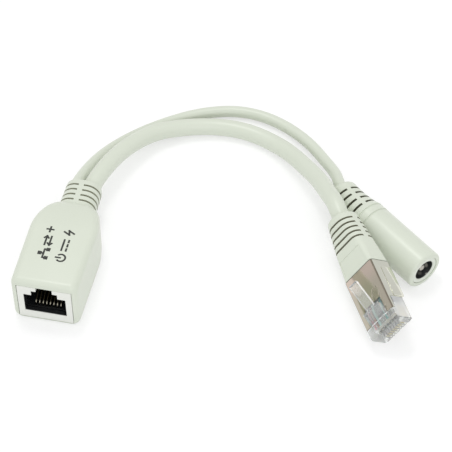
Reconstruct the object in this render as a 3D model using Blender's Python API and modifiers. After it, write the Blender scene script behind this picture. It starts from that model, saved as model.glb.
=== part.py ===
"""Power over ethernet injector.

A moulded socket end with an RJ45 port, a data cable to a shielded RJ45 plug, and a power cable to a
round DC socket.

Metres, +Z up. The socket end lies along Y with its port facing -Y, and the origin is under its middle,
on the surface that the whole cable lies on. The plug and the DC socket are modelled in frames of their own,
each with its open end towards -Y, and an empty carries them to where they lie.
"""

import math

import bmesh
import bpy
from mathutils import Matrix, Vector

# Clearances
SEAT_GAP = 0.0003
SLIDE_GAP = 0.00015

# How far a cutter runs past what it cuts, and how far fused pieces reach into each other
PAST = 0.001
JOIN = 0.0002

# Socket end: the moulded housing
HOUSE_WIDTH = 0.0194
HOUSE_HEIGHT = 0.0160
HOUSE_STRAIGHT = 0.0210
SHOULDER_LENGTH = 0.0125
SHOULDER_FULLNESS = 1.7
HOUSE_EDGE = 0.0021
HOUSE_DRAFT = 0.0003
FRONT_ROUND_LENGTH = 0.0018
FRONT_ROUND_TOP = 0.0015
FRONT_ROUND_SIDE = 0.0010
FRONT_ROUND_BOTTOM = 0.0008
RELIEF_WIDTH = 0.0107
RELIEF_HEIGHT = 0.0088
RELIEF_LENGTH = 0.0097
RELIEF_TAPER = 0.0001
RELIEF_CORNER = 0.0038
RELIEF_END_ROUND = 0.0005

# Slots of a strain relief
SLOT_WIDTH = 0.0006
SLOT_DEPTH = 0.0009
HOUSE_SLOTS = 4
HOUSE_SLOT_PITCH = 0.00195
HOUSE_SLOT_START = 0.00215
HOUSE_SPINE_OFFSET = -0.0002
HOUSE_SPINE_WIDTH = 0.0015

# Port
PORT_WIDTH = 0.01185
PORT_HEIGHT = 0.00685
PORT_STEP_WIDTH = 0.0074
PORT_STEP_HEIGHT = 0.0017
PORT_NOTCH_WIDTH = 0.0046
PORT_DEPTH = 0.0118
PORT_FLOOR = 0.0037
BEZEL_WIDTH = 0.0154
BEZEL_HEIGHT = 0.0128
BEZEL_BOTTOM = 0.0010
BEZEL_THICKNESS = 0.0016
JACK_LENGTH = 0.0120
JACK_INSET = 0.0003

# Contacts, for the port and for the plug
CONTACTS = 8
CONTACT_PITCH = 0.00102
SPRING_DIAMETER = 0.00042
CHANNEL_WIDTH = 0.00072
CHANNEL_DEPTH = 0.0013
CHANNEL_START = 0.0005
BLADE_THICKNESS = 0.0003
BLADE_LENGTH = 0.0044
BLADE_HEIGHT = 0.0029
BLADE_SET_BACK = 0.0007

SPRING_FOOT = 0.0002
SPRING_NOSE = 0.0009
SPRING_BEND = 0.0004
SPRING_RUN = 0.0070
SPRING_RISE = 0.0042

# Board and wires
BOARD_WIDTH = 0.0122
BOARD_BOTTOM = 0.0031
BOARD_TOP = 0.0119
CABIN_WALL = 0.0006
CABIN_LENGTH = 0.0040
BOARD_THICKNESS = 0.0010
BOARD_INSET = 0.0009
WIRE_DIAMETER = 0.00066
WIRE_SPREAD = 0.0007
WIRE_SWAY = 0.0004
POWER_WIRE_DIAMETER = 0.0008
POWER_WIRE_SPREAD = 0.00065
DC_WIRE_SPREAD = 0.00055

# Corners of a section
LEAST_CORNER = 0.0002
ROUND_SPARE = 0.0001

# Cables
DATA_CABLE_DIAMETER = 0.0052
DATA_BORE = 0.0040
DATA_EXIT_X = 0.00195
POWER_CABLE_DIAMETER = 0.0035
POWER_BORE = 0.0026
POWER_EXIT_X = -0.00275
STRAIGHT_START = 0.0015
CABLE_POINTS = 34

# Plug: 0 is the edge of the boot, and the nose lies towards -Y
PLUG_WIDTH = 0.0118
PLUG_NOSE_WIDTH = 0.0117
PLUG_TOP = 0.0037
PLUG_REAR_HEIGHT = 0.0073
PLUG_NOSE_HEIGHT = 0.0062
PLUG_LENGTH = 0.0200
SHIELD_THICKNESS = 0.00025
SHIELD_TOP_LENGTH = 0.0166
SHIELD_SIDE_LENGTH = 0.0127
SHIELD_STEP_START = 0.0091
SHIELD_STEP_END = 0.0114
SHIELD_CORNER = 0.0007
NOSE_CHAMFER = 0.0003
NOSE_TOP_DROP = 0.0007
NOSE_TOP_LENGTH = 0.0010
PAD_LENGTH = 0.0100
PAD_HEIGHT = 0.0039
PAD_LOW = 0.0006
PAD_SET_BACK = 0.0002
PAD_PROUD = 0.0003
PAD_ROUND = 0.0003
WINDOW_WIDTH = 0.0068
WINDOW_LENGTH = 0.0053
LATCH_WIDTH = 0.0031
LATCH_ROOT_WIDTH = 0.0062
LATCH_THICKNESS = 0.0011
LATCH_TIP = 0.0009
LATCH_RISE = 0.0046
LATCH_REACH = 0.0053
LATCH_ROOT_LENGTH = 0.0057
BLADE_ROOF = 0.0004
BLADE_SLOT_WIDTH = 0.0006
BLADE_SLOT_LENGTH = 0.0063
WIRE_SLOT_START = 0.0022
WIRE_SLOT_HEIGHT = 0.0013
WIRE_SLOT_WIDTH = 0.0088
WIRE_ROOM_LENGTH = 0.0085
WIRE_ROOM_DEPTH = 0.0016
WIRE_SPLICE = 0.0008

# Boot
BOOT_LENGTH = 0.0188
BOOT_END_DIAMETER = 0.0090
BOOT_MIDDLE = 0.0085
BOOT_MIDDLE_WIDTH = 0.0110
BOOT_MIDDLE_HEIGHT = 0.0078
BOOT_MIDDLE_TOP = 0.0041
BOOT_MIDDLE_CORNER = 0.0025
BOOT_CORNER = 0.0010
BOOT_SLOTS = 5
BOOT_SLOT_PITCH = 0.00182
BOOT_SLOT_START = 0.0025
BOOT_SLOT_DEPTH = 0.0008
BOOT_SPINE_WIDTH = 0.0018
BOOT_SPINE_OFFSET = 0.0003
PLUG_PLACE = Vector((0.08497, 0.00610, 0.00914))
PLUG_YAW = math.radians(30.03)
PLUG_PITCH = math.radians(5.0)
PLUG_ROLL = math.radians(-55.9)

# DC socket: 0 is its face, and the relief lies towards +Y
DC_DIAMETER = 0.0117
DC_BODY_LENGTH = 0.0252
DC_FACE_ROUND = 0.0007
DC_GROOVE_PLACES = (0.0216, 0.0241)
DC_GROOVE_WIDTH = 0.0005
DC_GROOVE_DEPTH = 0.0003
DC_STEP_ROUND = 0.0006
DC_RELIEF_LENGTH = 0.0122
DC_RELIEF_BASE_DIAMETER = 0.0112
DC_RELIEF_END_DIAMETER = 0.0080
DC_BEND = math.radians(16.6)
DC_SLOTS = 4
DC_SLOT_PITCH = 0.0025
DC_SLOT_START = 0.0034
DC_SPINE_WIDTH = 0.0013
DC_INSERT_DIAMETER = 0.0086
DC_INSERT_LENGTH = 0.0118
DC_INSERT_INSET = 0.0002
DC_HOLE_CHAMFER = 0.0003
DC_HOLE_DIAMETER = 0.0062
DC_HOLE_DEPTH = 0.0093
DC_PIN_DIAMETER = 0.0021
DC_PIN_INSET = 0.0009
DC_PIN_ROUND = 0.0006
DC_TAIL = 0.0014
DC_ROOM_DIAMETER = 0.0060
DC_ROOM_LENGTH = 0.0070
DC_SPRING_WIDTH = 0.0015
DC_SPRING_THICKNESS = 0.00025
DC_SPRING_INSET = 0.00045
DC_SPRING_BOW = 0.0005
DC_SPRING_START = 0.0016
DC_FACE = Vector((0.10073, 0.0128, DC_DIAMETER / 2))
DC_YAW = math.radians(49.6)

# The cables' ways over the surface, between their two ends. The data cable leans on the power cable.
DATA_WAY = (
    (0.0021, 0.0246, 0.0081),
    (0.0029, 0.0282, 0.0081),
    (0.0042, 0.0330, 0.0078),
    (0.0061, 0.0388, 0.0069),
    (0.0091, 0.0450, 0.0058),
    (0.0118, 0.0493, 0.0048),
    (0.0145, 0.0522, 0.0042),
    (0.0204, 0.0560, 0.0033),
    (0.0263, 0.0584, 0.0028),
    (0.0327, 0.0596, 0.00265),
    (0.0393, 0.0595, 0.0026),
    (0.0463, 0.0577, 0.0026),
    (0.0500, 0.0559, 0.0028),
    (0.0537, 0.0534, 0.0034),
    (0.0575, 0.0499, 0.0043),
    (0.0615, 0.0454, 0.0056),
    (0.0658, 0.0398, 0.0075),
    (0.0699, 0.0325, 0.0101),
    (0.0727, 0.0275, 0.0116),
)
POWER_WAY = (
    (-0.0028, 0.0252, 0.0073),
    (-0.0024, 0.0296, 0.0059),
    (-0.0012, 0.0361, 0.0041),
    (0.0004, 0.0411, 0.0028),
    (0.0023, 0.0451, 0.0020),
    (0.0069, 0.0510, 0.00175),
    (0.0119, 0.0558, 0.00175),
    (0.0171, 0.0599, 0.00175),
    (0.0226, 0.0635, 0.00175),
    (0.0281, 0.0661, 0.00175),
    (0.0339, 0.0678, 0.00175),
    (0.0397, 0.0682, 0.00175),
    (0.0459, 0.0671, 0.0018),
    (0.0524, 0.0643, 0.0019),
    (0.0592, 0.0594, 0.0023),
    (0.0663, 0.0514, 0.0032),
    (0.0701, 0.0459, 0.0043),
)

# Worked out from the sizes above
HOUSE_LENGTH = HOUSE_STRAIGHT + SHOULDER_LENGTH + RELIEF_LENGTH
FRONT_Y = -HOUSE_LENGTH / 2
RELIEF_Y = FRONT_Y + HOUSE_STRAIGHT + SHOULDER_LENGTH
EXIT_Y = HOUSE_LENGTH / 2
EXIT_Z = HOUSE_HEIGHT / 2
PORT_TOP = BEZEL_BOTTOM + BEZEL_HEIGHT
JACK_Y = FRONT_Y + BEZEL_THICKNESS + SEAT_GAP
JACK_END_Y = JACK_Y + JACK_LENGTH
BOARD_Y = JACK_END_Y + BOARD_INSET
CABIN_END_Y = BOARD_Y + BOARD_THICKNESS + CABIN_LENGTH
DC_LENGTH = DC_BODY_LENGTH + DC_RELIEF_LENGTH
CONTACT_XS = [(i - (CONTACTS - 1) / 2) * CONTACT_PITCH for i in range(CONTACTS)]
DATA_PINS = (0, 1, 2, 5)


def clear_scene():
    for obj in list(bpy.data.objects):
        bpy.data.objects.remove(obj, do_unlink=True)


def new_collection(name, hidden=False):
    made = bpy.data.collections.new(name)
    bpy.context.scene.collection.children.link(made)
    made.hide_render = hidden
    return made


def finish(name, colour, roughness, metallic=0.0):
    material = bpy.data.materials.new(name)
    material.use_nodes = True
    shader = material.node_tree.nodes["Principled BSDF"]
    shader.inputs["Base Color"].default_value = (*colour, 1.0)
    shader.inputs["Roughness"].default_value = roughness
    shader.inputs["Metallic"].default_value = metallic
    material.diffuse_color = (*colour, 1.0)
    return material


clear_scene()
PARTS = new_collection("power_over_ethernet_injector")
CUTTERS = new_collection("cutters", hidden=True)
SOFT_PVC = finish("soft_pvc", (0.68, 0.72, 0.62), 0.45)
WHITE_FRAME = finish("white_frame", (0.83, 0.84, 0.80), 0.35)
BLACK_PLASTIC = finish("black_plastic", (0.012, 0.013, 0.014), 0.40)
CLEAR_PLASTIC = finish("clear_plastic", (0.80, 0.83, 0.82), 0.12)
GOLD = finish("gold_plate", (0.83, 0.62, 0.25), 0.25, 1.0)
NICKEL = finish("nickel_plate", (0.62, 0.59, 0.53), 0.25, 1.0)
BOARD_GREEN = finish("board", (0.02, 0.16, 0.07), 0.50)
WIRE_COLOURS = [
    finish("wire_pink", (0.80, 0.36, 0.40), 0.45),
    finish("wire_rust", (0.42, 0.17, 0.08), 0.45),
    finish("wire_white_teal", (0.45, 0.72, 0.66), 0.45),
    finish("wire_teal", (0.05, 0.42, 0.38), 0.45),
]
POWER_COLOURS = [
    finish("wire_red", (0.55, 0.03, 0.03), 0.45),
    finish("wire_black", (0.02, 0.02, 0.02), 0.45),
]


def add_object(name, mesh, material=None, parent=None):
    """A finished piece when it has a material, and otherwise a cutter."""
    obj = bpy.data.objects.new(name, mesh)
    if material is None:
        CUTTERS.objects.link(obj)
        obj.hide_render = True
        obj.display_type = "WIRE"
    else:
        PARTS.objects.link(obj)
        mesh.materials.append(material)
    obj.parent = parent
    return obj


def mesh_of(name, bm):
    """Closes off a bmesh: normals outwards, and its data in a new mesh."""
    bmesh.ops.recalc_face_normals(bm, faces=bm.faces)
    mesh = bpy.data.meshes.new(name)
    bm.to_mesh(mesh)
    bm.free()
    return mesh


def smooth(obj, angle=35):
    obj.data.shade_smooth()
    obj.data.set_sharp_from_angle(angle=math.radians(angle))


def add_box(bm, low, high):
    """Adds a block between two corners to a bmesh, from a unit cube."""
    low, high = Vector(low), Vector(high)
    place = Matrix.Translation((low + high) / 2) @ Matrix.Diagonal((*(high - low), 1.0))
    return bmesh.ops.create_cube(bm, size=1.0, matrix=place)["verts"]


def blocks(name, corners, material=None, parent=None):
    bm = bmesh.new()
    for low, high in corners:
        add_box(bm, low, high)
    return add_object(name, mesh_of(name, bm), material, parent)


def prism(name, outline, start, end, axis="Y", material=None, parent=None):
    """A flat outline pushed along an axis. The outline is in XZ for axis Y, and in YZ for axis X."""
    bm = bmesh.new()
    if axis == "Y":
        corners = [bm.verts.new((a, start, b)) for a, b in outline]
        push = Vector((0, end - start, 0))
    else:
        corners = [bm.verts.new((start, a, b)) for a, b in outline]
        push = Vector((end - start, 0, 0))
    face = bm.faces.new(corners)
    grown = bmesh.ops.extrude_face_region(bm, geom=[face])["geom"]
    moved = [item for item in grown if isinstance(item, bmesh.types.BMVert)]
    bmesh.ops.translate(bm, verts=moved, vec=push)
    return add_object(name, mesh_of(name, bm), material, parent)


def rounded_section(left, right, bottom, top, radius, steps=4):
    """The points of a rectangle with round corners, the same number whatever its size."""
    points = []
    corners = ((right, top, 0), (left, top, 90), (left, bottom, 180), (right, bottom, 270))
    for x, z, turn in corners:
        for step in range(steps + 1):
            angle = math.radians(turn + 90 * step / steps)
            inner_x = x - math.copysign(radius, x - (left + right) / 2)
            inner_z = z - math.copysign(radius, z - (bottom + top) / 2)
            points.append((inner_x + radius * math.cos(angle), inner_z + radius * math.sin(angle)))
    return points


def loft_mesh(name, sections, closed=True):
    """Joins sections of equal count, each a Y and its XZ points, and caps the first and last."""
    bm = bmesh.new()
    rings = [[bm.verts.new((x, y, z)) for x, z in points] for y, points in sections]
    for near, far in zip(rings, rings[1:]):
        for i in range(len(near)):
            j = (i + 1) % len(near)
            bm.faces.new((near[i], near[j], far[j], far[i]))
    if closed:
        bm.faces.new(reversed(rings[0]))
        bm.faces.new(rings[-1])
    return mesh_of(name, bm)


def cylinder(name, radius, start, end, x=0.0, z=0.0, parent=None, segments=20):
    """A cutter along Y."""
    bm = bmesh.new()
    place = Matrix.Translation((x, (start + end) / 2, z)) @ Matrix.Rotation(math.pi / 2, 4, "X")
    bmesh.ops.create_cone(
        bm,
        cap_ends=True,
        segments=segments,
        radius1=radius,
        radius2=radius,
        depth=end - start,
        matrix=place,
    )
    return add_object(name, mesh_of(name, bm), parent=parent)


def cut(obj, cutter, operation="DIFFERENCE"):
    modifier = obj.modifiers.new(cutter.name, "BOOLEAN")
    modifier.operation = operation
    modifier.solver = "EXACT"
    modifier.object = cutter
    return obj


def settle(obj):
    """Applies an object's modifiers to its own mesh."""
    bpy.context.view_layer.update()
    graph = bpy.context.evaluated_depsgraph_get()
    mesh = bpy.data.meshes.new_from_object(obj.evaluated_get(graph))
    obj.modifiers.clear()
    obj.data = mesh
    return obj


def turned(name, profile, steps, material=None, parent=None):
    """A profile of (radius, y) points turned about Y: out along +Y, and back inside."""
    bm = bmesh.new()
    corners = [bm.verts.new((radius, y, 0)) for radius, y in reversed(profile)]
    for i, corner in enumerate(corners):
        bm.edges.new((corner, corners[(i + 1) % len(corners)]))
    mesh = bpy.data.meshes.new(name)
    bm.to_mesh(mesh)
    bm.free()
    obj = add_object(name, mesh, material, parent)
    screw = obj.modifiers.new("turn", "SCREW")
    screw.axis = "Y"
    screw.steps = steps
    screw.render_steps = steps
    screw.use_merge_vertices = True
    screw.merge_threshold = 0.000001
    return obj


def tube(name, points, diameter, material, parent=None, sides=1):
    """A wire or cable: a poly curve through its points, with filled ends."""
    curve = bpy.data.curves.new(name, "CURVE")
    curve.dimensions = "3D"
    curve.bevel_depth = diameter / 2
    curve.bevel_resolution = sides
    curve.use_fill_caps = True
    spline = curve.splines.new("POLY")
    spline.points.add(len(points) - 1)
    for spot, point in zip(spline.points, points):
        spot.co = (*point, 1.0)
    curve.materials.append(material)
    obj = bpy.data.objects.new(name, curve)
    PARTS.objects.link(obj)
    obj.parent = parent
    return obj


def smooth_way(knots, count):
    """Points at even spacing on a smooth curve through the knots, which a Hermite form joins."""
    knots = [Vector(knot) for knot in knots]
    ends = [2 * knots[0] - knots[1]] + knots + [2 * knots[-1] - knots[-2]]
    fine = []
    for a, b, c, d in zip(ends, ends[1:], ends[2:], ends[3:]):
        before, span, after = (b - a).length, (c - b).length, (d - c).length
        start = ((b - a) / before * span + (c - b) / span * before) / (before + span) * span
        end = ((c - b) / span * after + (d - c) / after * span) / (span + after) * span
        for step in range(12):
            t = step / 12
            u = 1 - t
            fine.append(
                b * (u * u * (1 + 2 * t))
                + start * (t * u * u)
                + c * (t * t * (3 - 2 * t))
                - end * (t * t * u)
            )
    fine.append(knots[-1])
    travelled = [0.0]
    for near, far in zip(fine, fine[1:]):
        travelled.append(travelled[-1] + (far - near).length)
    points = []
    place = 0
    for number in range(count):
        wanted = travelled[-1] * number / (count - 1)
        while place < len(fine) - 2 and travelled[place + 1] < wanted:
            place += 1
        share = (wanted - travelled[place]) / (travelled[place + 1] - travelled[place])
        points.append(fine[place].lerp(fine[place + 1], min(share, 1.0)))
    return points


def cable_points(start, straight_start, way, straight_end, end):
    """A cable leaves both its ends straight, and is a smooth curve between them."""
    return [start] + smooth_way([straight_start, *way, straight_end], CABLE_POINTS) + [end]


def empty(name, place):
    obj = bpy.data.objects.new(name, None)
    PARTS.objects.link(obj)
    obj.matrix_world = place
    return obj


def side_blocks(stations, spine_low, spine_high, reach, across="X", centre=0.0):
    """Thin blocks on both sides of a spine at each station, which a slot comb is made of."""
    corners = []
    for y in stations:
        near, far = y - SLOT_WIDTH / 2, y + SLOT_WIDTH / 2
        for low, high in ((-reach, spine_low), (spine_high, reach)):
            if across == "X":
                corners.append(((low, near, centre - reach), (high, far, centre + reach)))
            else:
                corners.append(((-reach, near, low), (reach, far, high)))
    return corners


# The socket end


def house_section(y, shrink_side, shrink_top, shrink_bottom, corner):
    """One section of the housing. Its sides widen a little from the front to the shoulder."""
    along = min((y - FRONT_Y) / HOUSE_STRAIGHT, 1.0)
    half = HOUSE_WIDTH / 2 - shrink_side - HOUSE_DRAFT * (1 - along)
    points = rounded_section(-half, half, shrink_bottom, HOUSE_HEIGHT - shrink_top, corner)
    return y, points


def relief_section(y, inset=0.0):
    """The strain relief's section at a place along it, or a core that lies deeper by inset."""
    along = (y - RELIEF_Y) / RELIEF_LENGTH
    half_width = RELIEF_WIDTH / 2 - RELIEF_TAPER * along - inset
    half_height = RELIEF_HEIGHT / 2 - RELIEF_TAPER * along - inset
    radius = RELIEF_CORNER - inset
    points = rounded_section(-half_width, half_width, EXIT_Z - half_height, EXIT_Z + half_height, radius)
    return y, points


def house_sections():
    sections = []
    for step in range(5):
        angle = math.radians(90 * step / 4)
        left = 1 - math.sin(angle)
        sections.append(
            house_section(
                FRONT_Y + FRONT_ROUND_LENGTH * (1 - math.cos(angle)),
                FRONT_ROUND_SIDE * left,
                FRONT_ROUND_TOP * left,
                FRONT_ROUND_BOTTOM * left,
                HOUSE_EDGE,
            )
        )
    side_drop = (HOUSE_WIDTH - RELIEF_WIDTH) / 2
    height_drop = (HOUSE_HEIGHT - RELIEF_HEIGHT) / 2
    for step in range(8):
        along = math.sin(math.radians(90 * step / 8))
        drop = 1 - (1 - along**SHOULDER_FULLNESS) ** (1 / SHOULDER_FULLNESS)
        sections.append(
            house_section(
                FRONT_Y + HOUSE_STRAIGHT + SHOULDER_LENGTH * along,
                side_drop * drop,
                height_drop * drop,
                height_drop * drop,
                HOUSE_EDGE + (RELIEF_CORNER - HOUSE_EDGE) * drop,
            )
        )
    sections.append(relief_section(RELIEF_Y))
    sections.append(relief_section(EXIT_Y - RELIEF_END_ROUND))
    sections.append((EXIT_Y, relief_section(EXIT_Y, RELIEF_END_ROUND)[1]))
    return sections


def port_outline(grow=0.0, notch_top=PORT_TOP):
    """The stepped opening of the port, from its floor up to the notch for the latch."""
    wide = PORT_WIDTH / 2 + grow
    step = PORT_STEP_WIDTH / 2 + grow
    notch = PORT_NOTCH_WIDTH / 2 + grow
    shelf = PORT_FLOOR + PORT_HEIGHT + grow
    ledge = shelf + PORT_STEP_HEIGHT
    right = [
        (wide, PORT_FLOOR - grow),
        (wide, shelf),
        (step, shelf),
        (step, ledge),
        (notch, ledge),
        (notch, notch_top),
    ]
    return right + [(-x, z) for x, z in reversed(right)]


def make_socket_end():
    housing = add_object("socket_housing", loft_mesh("socket_housing", house_sections()), SOFT_PVC)
    half = BEZEL_WIDTH / 2 + SLIDE_GAP
    pocket = blocks(
        "pocket_cutter",
        [((-half, FRONT_Y - PAST, BEZEL_BOTTOM - SLIDE_GAP), (half, BOARD_Y, PORT_TOP + SLIDE_GAP))],
    )
    side = BOARD_WIDTH / 2 + CABIN_WALL
    cabin_low = (-side, BOARD_Y - PAST, BOARD_BOTTOM - CABIN_WALL)
    cabin = blocks("cabin_cutter", [(cabin_low, (side, CABIN_END_Y, BOARD_TOP + CABIN_WALL))])
    bore_start, bore_end = CABIN_END_Y - PAST, EXIT_Y + PAST
    data_bore = cylinder("data_bore_cutter", DATA_BORE / 2, bore_start, bore_end, DATA_EXIT_X, EXIT_Z)
    power_bore = cylinder("power_bore_cutter", POWER_BORE / 2, bore_start, bore_end, POWER_EXIT_X, EXIT_Z)
    stations = [EXIT_Y - HOUSE_SLOT_START - HOUSE_SLOT_PITCH * i for i in range(HOUSE_SLOTS)]
    spine_low = HOUSE_SPINE_OFFSET - HOUSE_SPINE_WIDTH / 2
    spine_high = HOUSE_SPINE_OFFSET + HOUSE_SPINE_WIDTH / 2
    cells = side_blocks(stations, spine_low, spine_high, RELIEF_WIDTH, centre=EXIT_Z)
    comb = blocks("house_slot_cutter", cells)
    core_sections = [
        (RELIEF_Y - PAST, relief_section(RELIEF_Y, SLOT_DEPTH)[1]),
        (EXIT_Y + PAST, relief_section(EXIT_Y, SLOT_DEPTH)[1]),
    ]
    cut(comb, add_object("house_core_cutter", loft_mesh("house_core_cutter", core_sections)))
    for cutter in (pocket, cabin, data_bore, power_bore, comb):
        cut(housing, cutter)
    smooth(housing)

    bezel_sections = []
    for y in (FRONT_Y, FRONT_Y + BEZEL_THICKNESS):
        outline = rounded_section(-BEZEL_WIDTH / 2, BEZEL_WIDTH / 2, BEZEL_BOTTOM, PORT_TOP, 0.0003, 2)
        bezel_sections.append((y, outline))
    bezel = add_object("jack_bezel", loft_mesh("jack_bezel", bezel_sections), WHITE_FRAME)
    open_port = port_outline(notch_top=PORT_TOP + PAST)
    cut(bezel, prism("port_cutter", open_port, FRONT_Y - PAST, FRONT_Y + BEZEL_THICKNESS + PAST))

    inset = JACK_INSET
    jack = blocks(
        "jack_body",
        [
            (
                (-BEZEL_WIDTH / 2 + inset, JACK_Y, BEZEL_BOTTOM + inset),
                (BEZEL_WIDTH / 2 - inset, JACK_END_Y, PORT_TOP),
            )
        ],
        BLACK_PLASTIC,
    )
    cut(jack, prism("jack_cutter", open_port, JACK_Y - PAST, FRONT_Y + PORT_DEPTH))
    channels = [
        (
            (x - CHANNEL_WIDTH / 2, JACK_Y + CHANNEL_START, PORT_FLOOR - CHANNEL_DEPTH),
            (x + CHANNEL_WIDTH / 2, JACK_END_Y + PAST, PORT_FLOOR + JOIN),
        )
        for x in CONTACT_XS
    ]
    cut(jack, blocks("channel_cutter", channels))

    low = PORT_FLOOR - CHANNEL_DEPTH + SPRING_FOOT + SPRING_DIAMETER / 2
    bend_y = JACK_Y + SPRING_NOSE
    side_view = (
        (BOARD_Y - SEAT_GAP, low),
        (bend_y + 3 * SPRING_BEND, low),
        (bend_y + SPRING_BEND, low + SPRING_BEND / 2),
        (bend_y, low + 2 * SPRING_BEND),
        (bend_y + SPRING_BEND / 4, PORT_FLOOR + 2 * SPRING_BEND),
        (bend_y + 1.5 * SPRING_BEND, PORT_FLOOR + 3 * SPRING_BEND),
        (bend_y + SPRING_RUN, PORT_FLOOR + SPRING_RISE),
    )
    for number, x in enumerate(CONTACT_XS, 1):
        tube(f"jack_contact_{number}", [(x, y, z) for y, z in side_view], SPRING_DIAMETER, GOLD)


def make_board_and_wires():
    half = BOARD_WIDTH / 2
    low = (-half, BOARD_Y, BOARD_BOTTOM)
    blocks("jack_board", [(low, (half, BOARD_Y + BOARD_THICKNESS, BOARD_TOP))], BOARD_GREEN)
    start = BOARD_Y + BOARD_THICKNESS + SEAT_GAP
    for number, (side, up) in enumerate(((-1, -1), (-1, 1), (1, 1), (1, -1))):
        x = DATA_EXIT_X + side * WIRE_SPREAD
        z = EXIT_Z + up * WIRE_SPREAD
        points = [(x + side * WIRE_SWAY, start, z), (x, CABIN_END_Y - SEAT_GAP, z), (x, EXIT_Y, z)]
        tube(f"data_wire_{number + 1}", points, WIRE_DIAMETER, WIRE_COLOURS[number])
    for number, side in enumerate((-1, 1)):
        x = POWER_EXIT_X + side * POWER_WIRE_SPREAD
        points = [(x + side * WIRE_SWAY, start, EXIT_Z), (x, CABIN_END_Y - SEAT_GAP, EXIT_Z)]
        points.append((x, EXIT_Y, EXIT_Z))
        tube(f"power_wire_{number + 1}", points, POWER_WIRE_DIAMETER, POWER_COLOURS[number])


# The plug


def plug_place():
    """Points the nose the right way, dips it, and rolls the plug about its own length."""
    tilt = Matrix.Rotation(PLUG_PITCH, 4, "X") @ Matrix.Rotation(PLUG_ROLL, 4, "Y")
    turn = Matrix.Rotation(PLUG_YAW, 4, "Z") @ tilt
    return Matrix.Translation(PLUG_PLACE) @ turn


def shield_section(y, inset=0.0):
    """The folded shell's section: its contact side steps in towards the nose."""
    along = -y
    share = min(max((along - SHIELD_STEP_START) / (SHIELD_STEP_END - SHIELD_STEP_START), 0.0), 1.0)
    height = PLUG_REAR_HEIGHT + (PLUG_NOSE_HEIGHT - PLUG_REAR_HEIGHT) * share
    width = PLUG_WIDTH + (PLUG_NOSE_WIDTH - PLUG_WIDTH) * along / PLUG_LENGTH
    half = width / 2 - inset
    radius = max(SHIELD_CORNER - inset, LEAST_CORNER)
    return y, rounded_section(-half, half, PLUG_TOP - height + inset, PLUG_TOP - inset, radius, 3)


def make_shield(parent):
    places = (-SEAT_GAP, -SHIELD_STEP_START, -SHIELD_STEP_END, -SHIELD_TOP_LENGTH)
    shell = loft_mesh("plug_shield", [shield_section(y) for y in places])
    shield = add_object("plug_shield", shell, NICKEL, parent)
    half = PLUG_WIDTH / 2 + PAD_PROUD
    pad_low = PLUG_TOP - PLUG_REAR_HEIGHT + PAD_LOW
    pad_start = -SHIELD_SIDE_LENGTH + PAD_SET_BACK
    low, high = (-half, pad_start, pad_low), (half, pad_start + PAD_LENGTH, pad_low + PAD_HEIGHT)
    pad = blocks("pad_joined", [(low, high)], parent=parent)
    rounding = pad.modifiers.new("round", "BEVEL")
    rounding.width = PAD_ROUND
    rounding.segments = 2
    cut(shield, pad, "UNION")
    hollow = [(PAST, shield_section(0.0, SHIELD_THICKNESS)[1])]
    hollow += [shield_section(y, SHIELD_THICKNESS) for y in places[:-1]]
    hollow.append((-SHIELD_TOP_LENGTH - PAST, shield_section(-SHIELD_TOP_LENGTH, SHIELD_THICKNESS)[1]))
    cut(shield, add_object("shield_hollow_cutter", loft_mesh("shield_hollow_cutter", hollow), parent=parent))
    top_strip = PLUG_TOP - SHIELD_THICKNESS - SHIELD_CORNER
    beyond = -SHIELD_TOP_LENGTH - PAST
    window_end = -SHIELD_TOP_LENGTH + WINDOW_LENGTH
    front = [
        ((-PLUG_WIDTH, beyond, -PLUG_WIDTH), (PLUG_WIDTH, -SHIELD_SIDE_LENGTH, top_strip)),
        ((-WINDOW_WIDTH / 2, beyond, top_strip - PAST), (WINDOW_WIDTH / 2, window_end, PLUG_TOP + PAST)),
    ]
    for number, corners in enumerate(front):
        cut(shield, blocks(f"shield_front_cutter_{number}", [corners], parent=parent))
    smooth(shield)
    return shield


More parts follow.
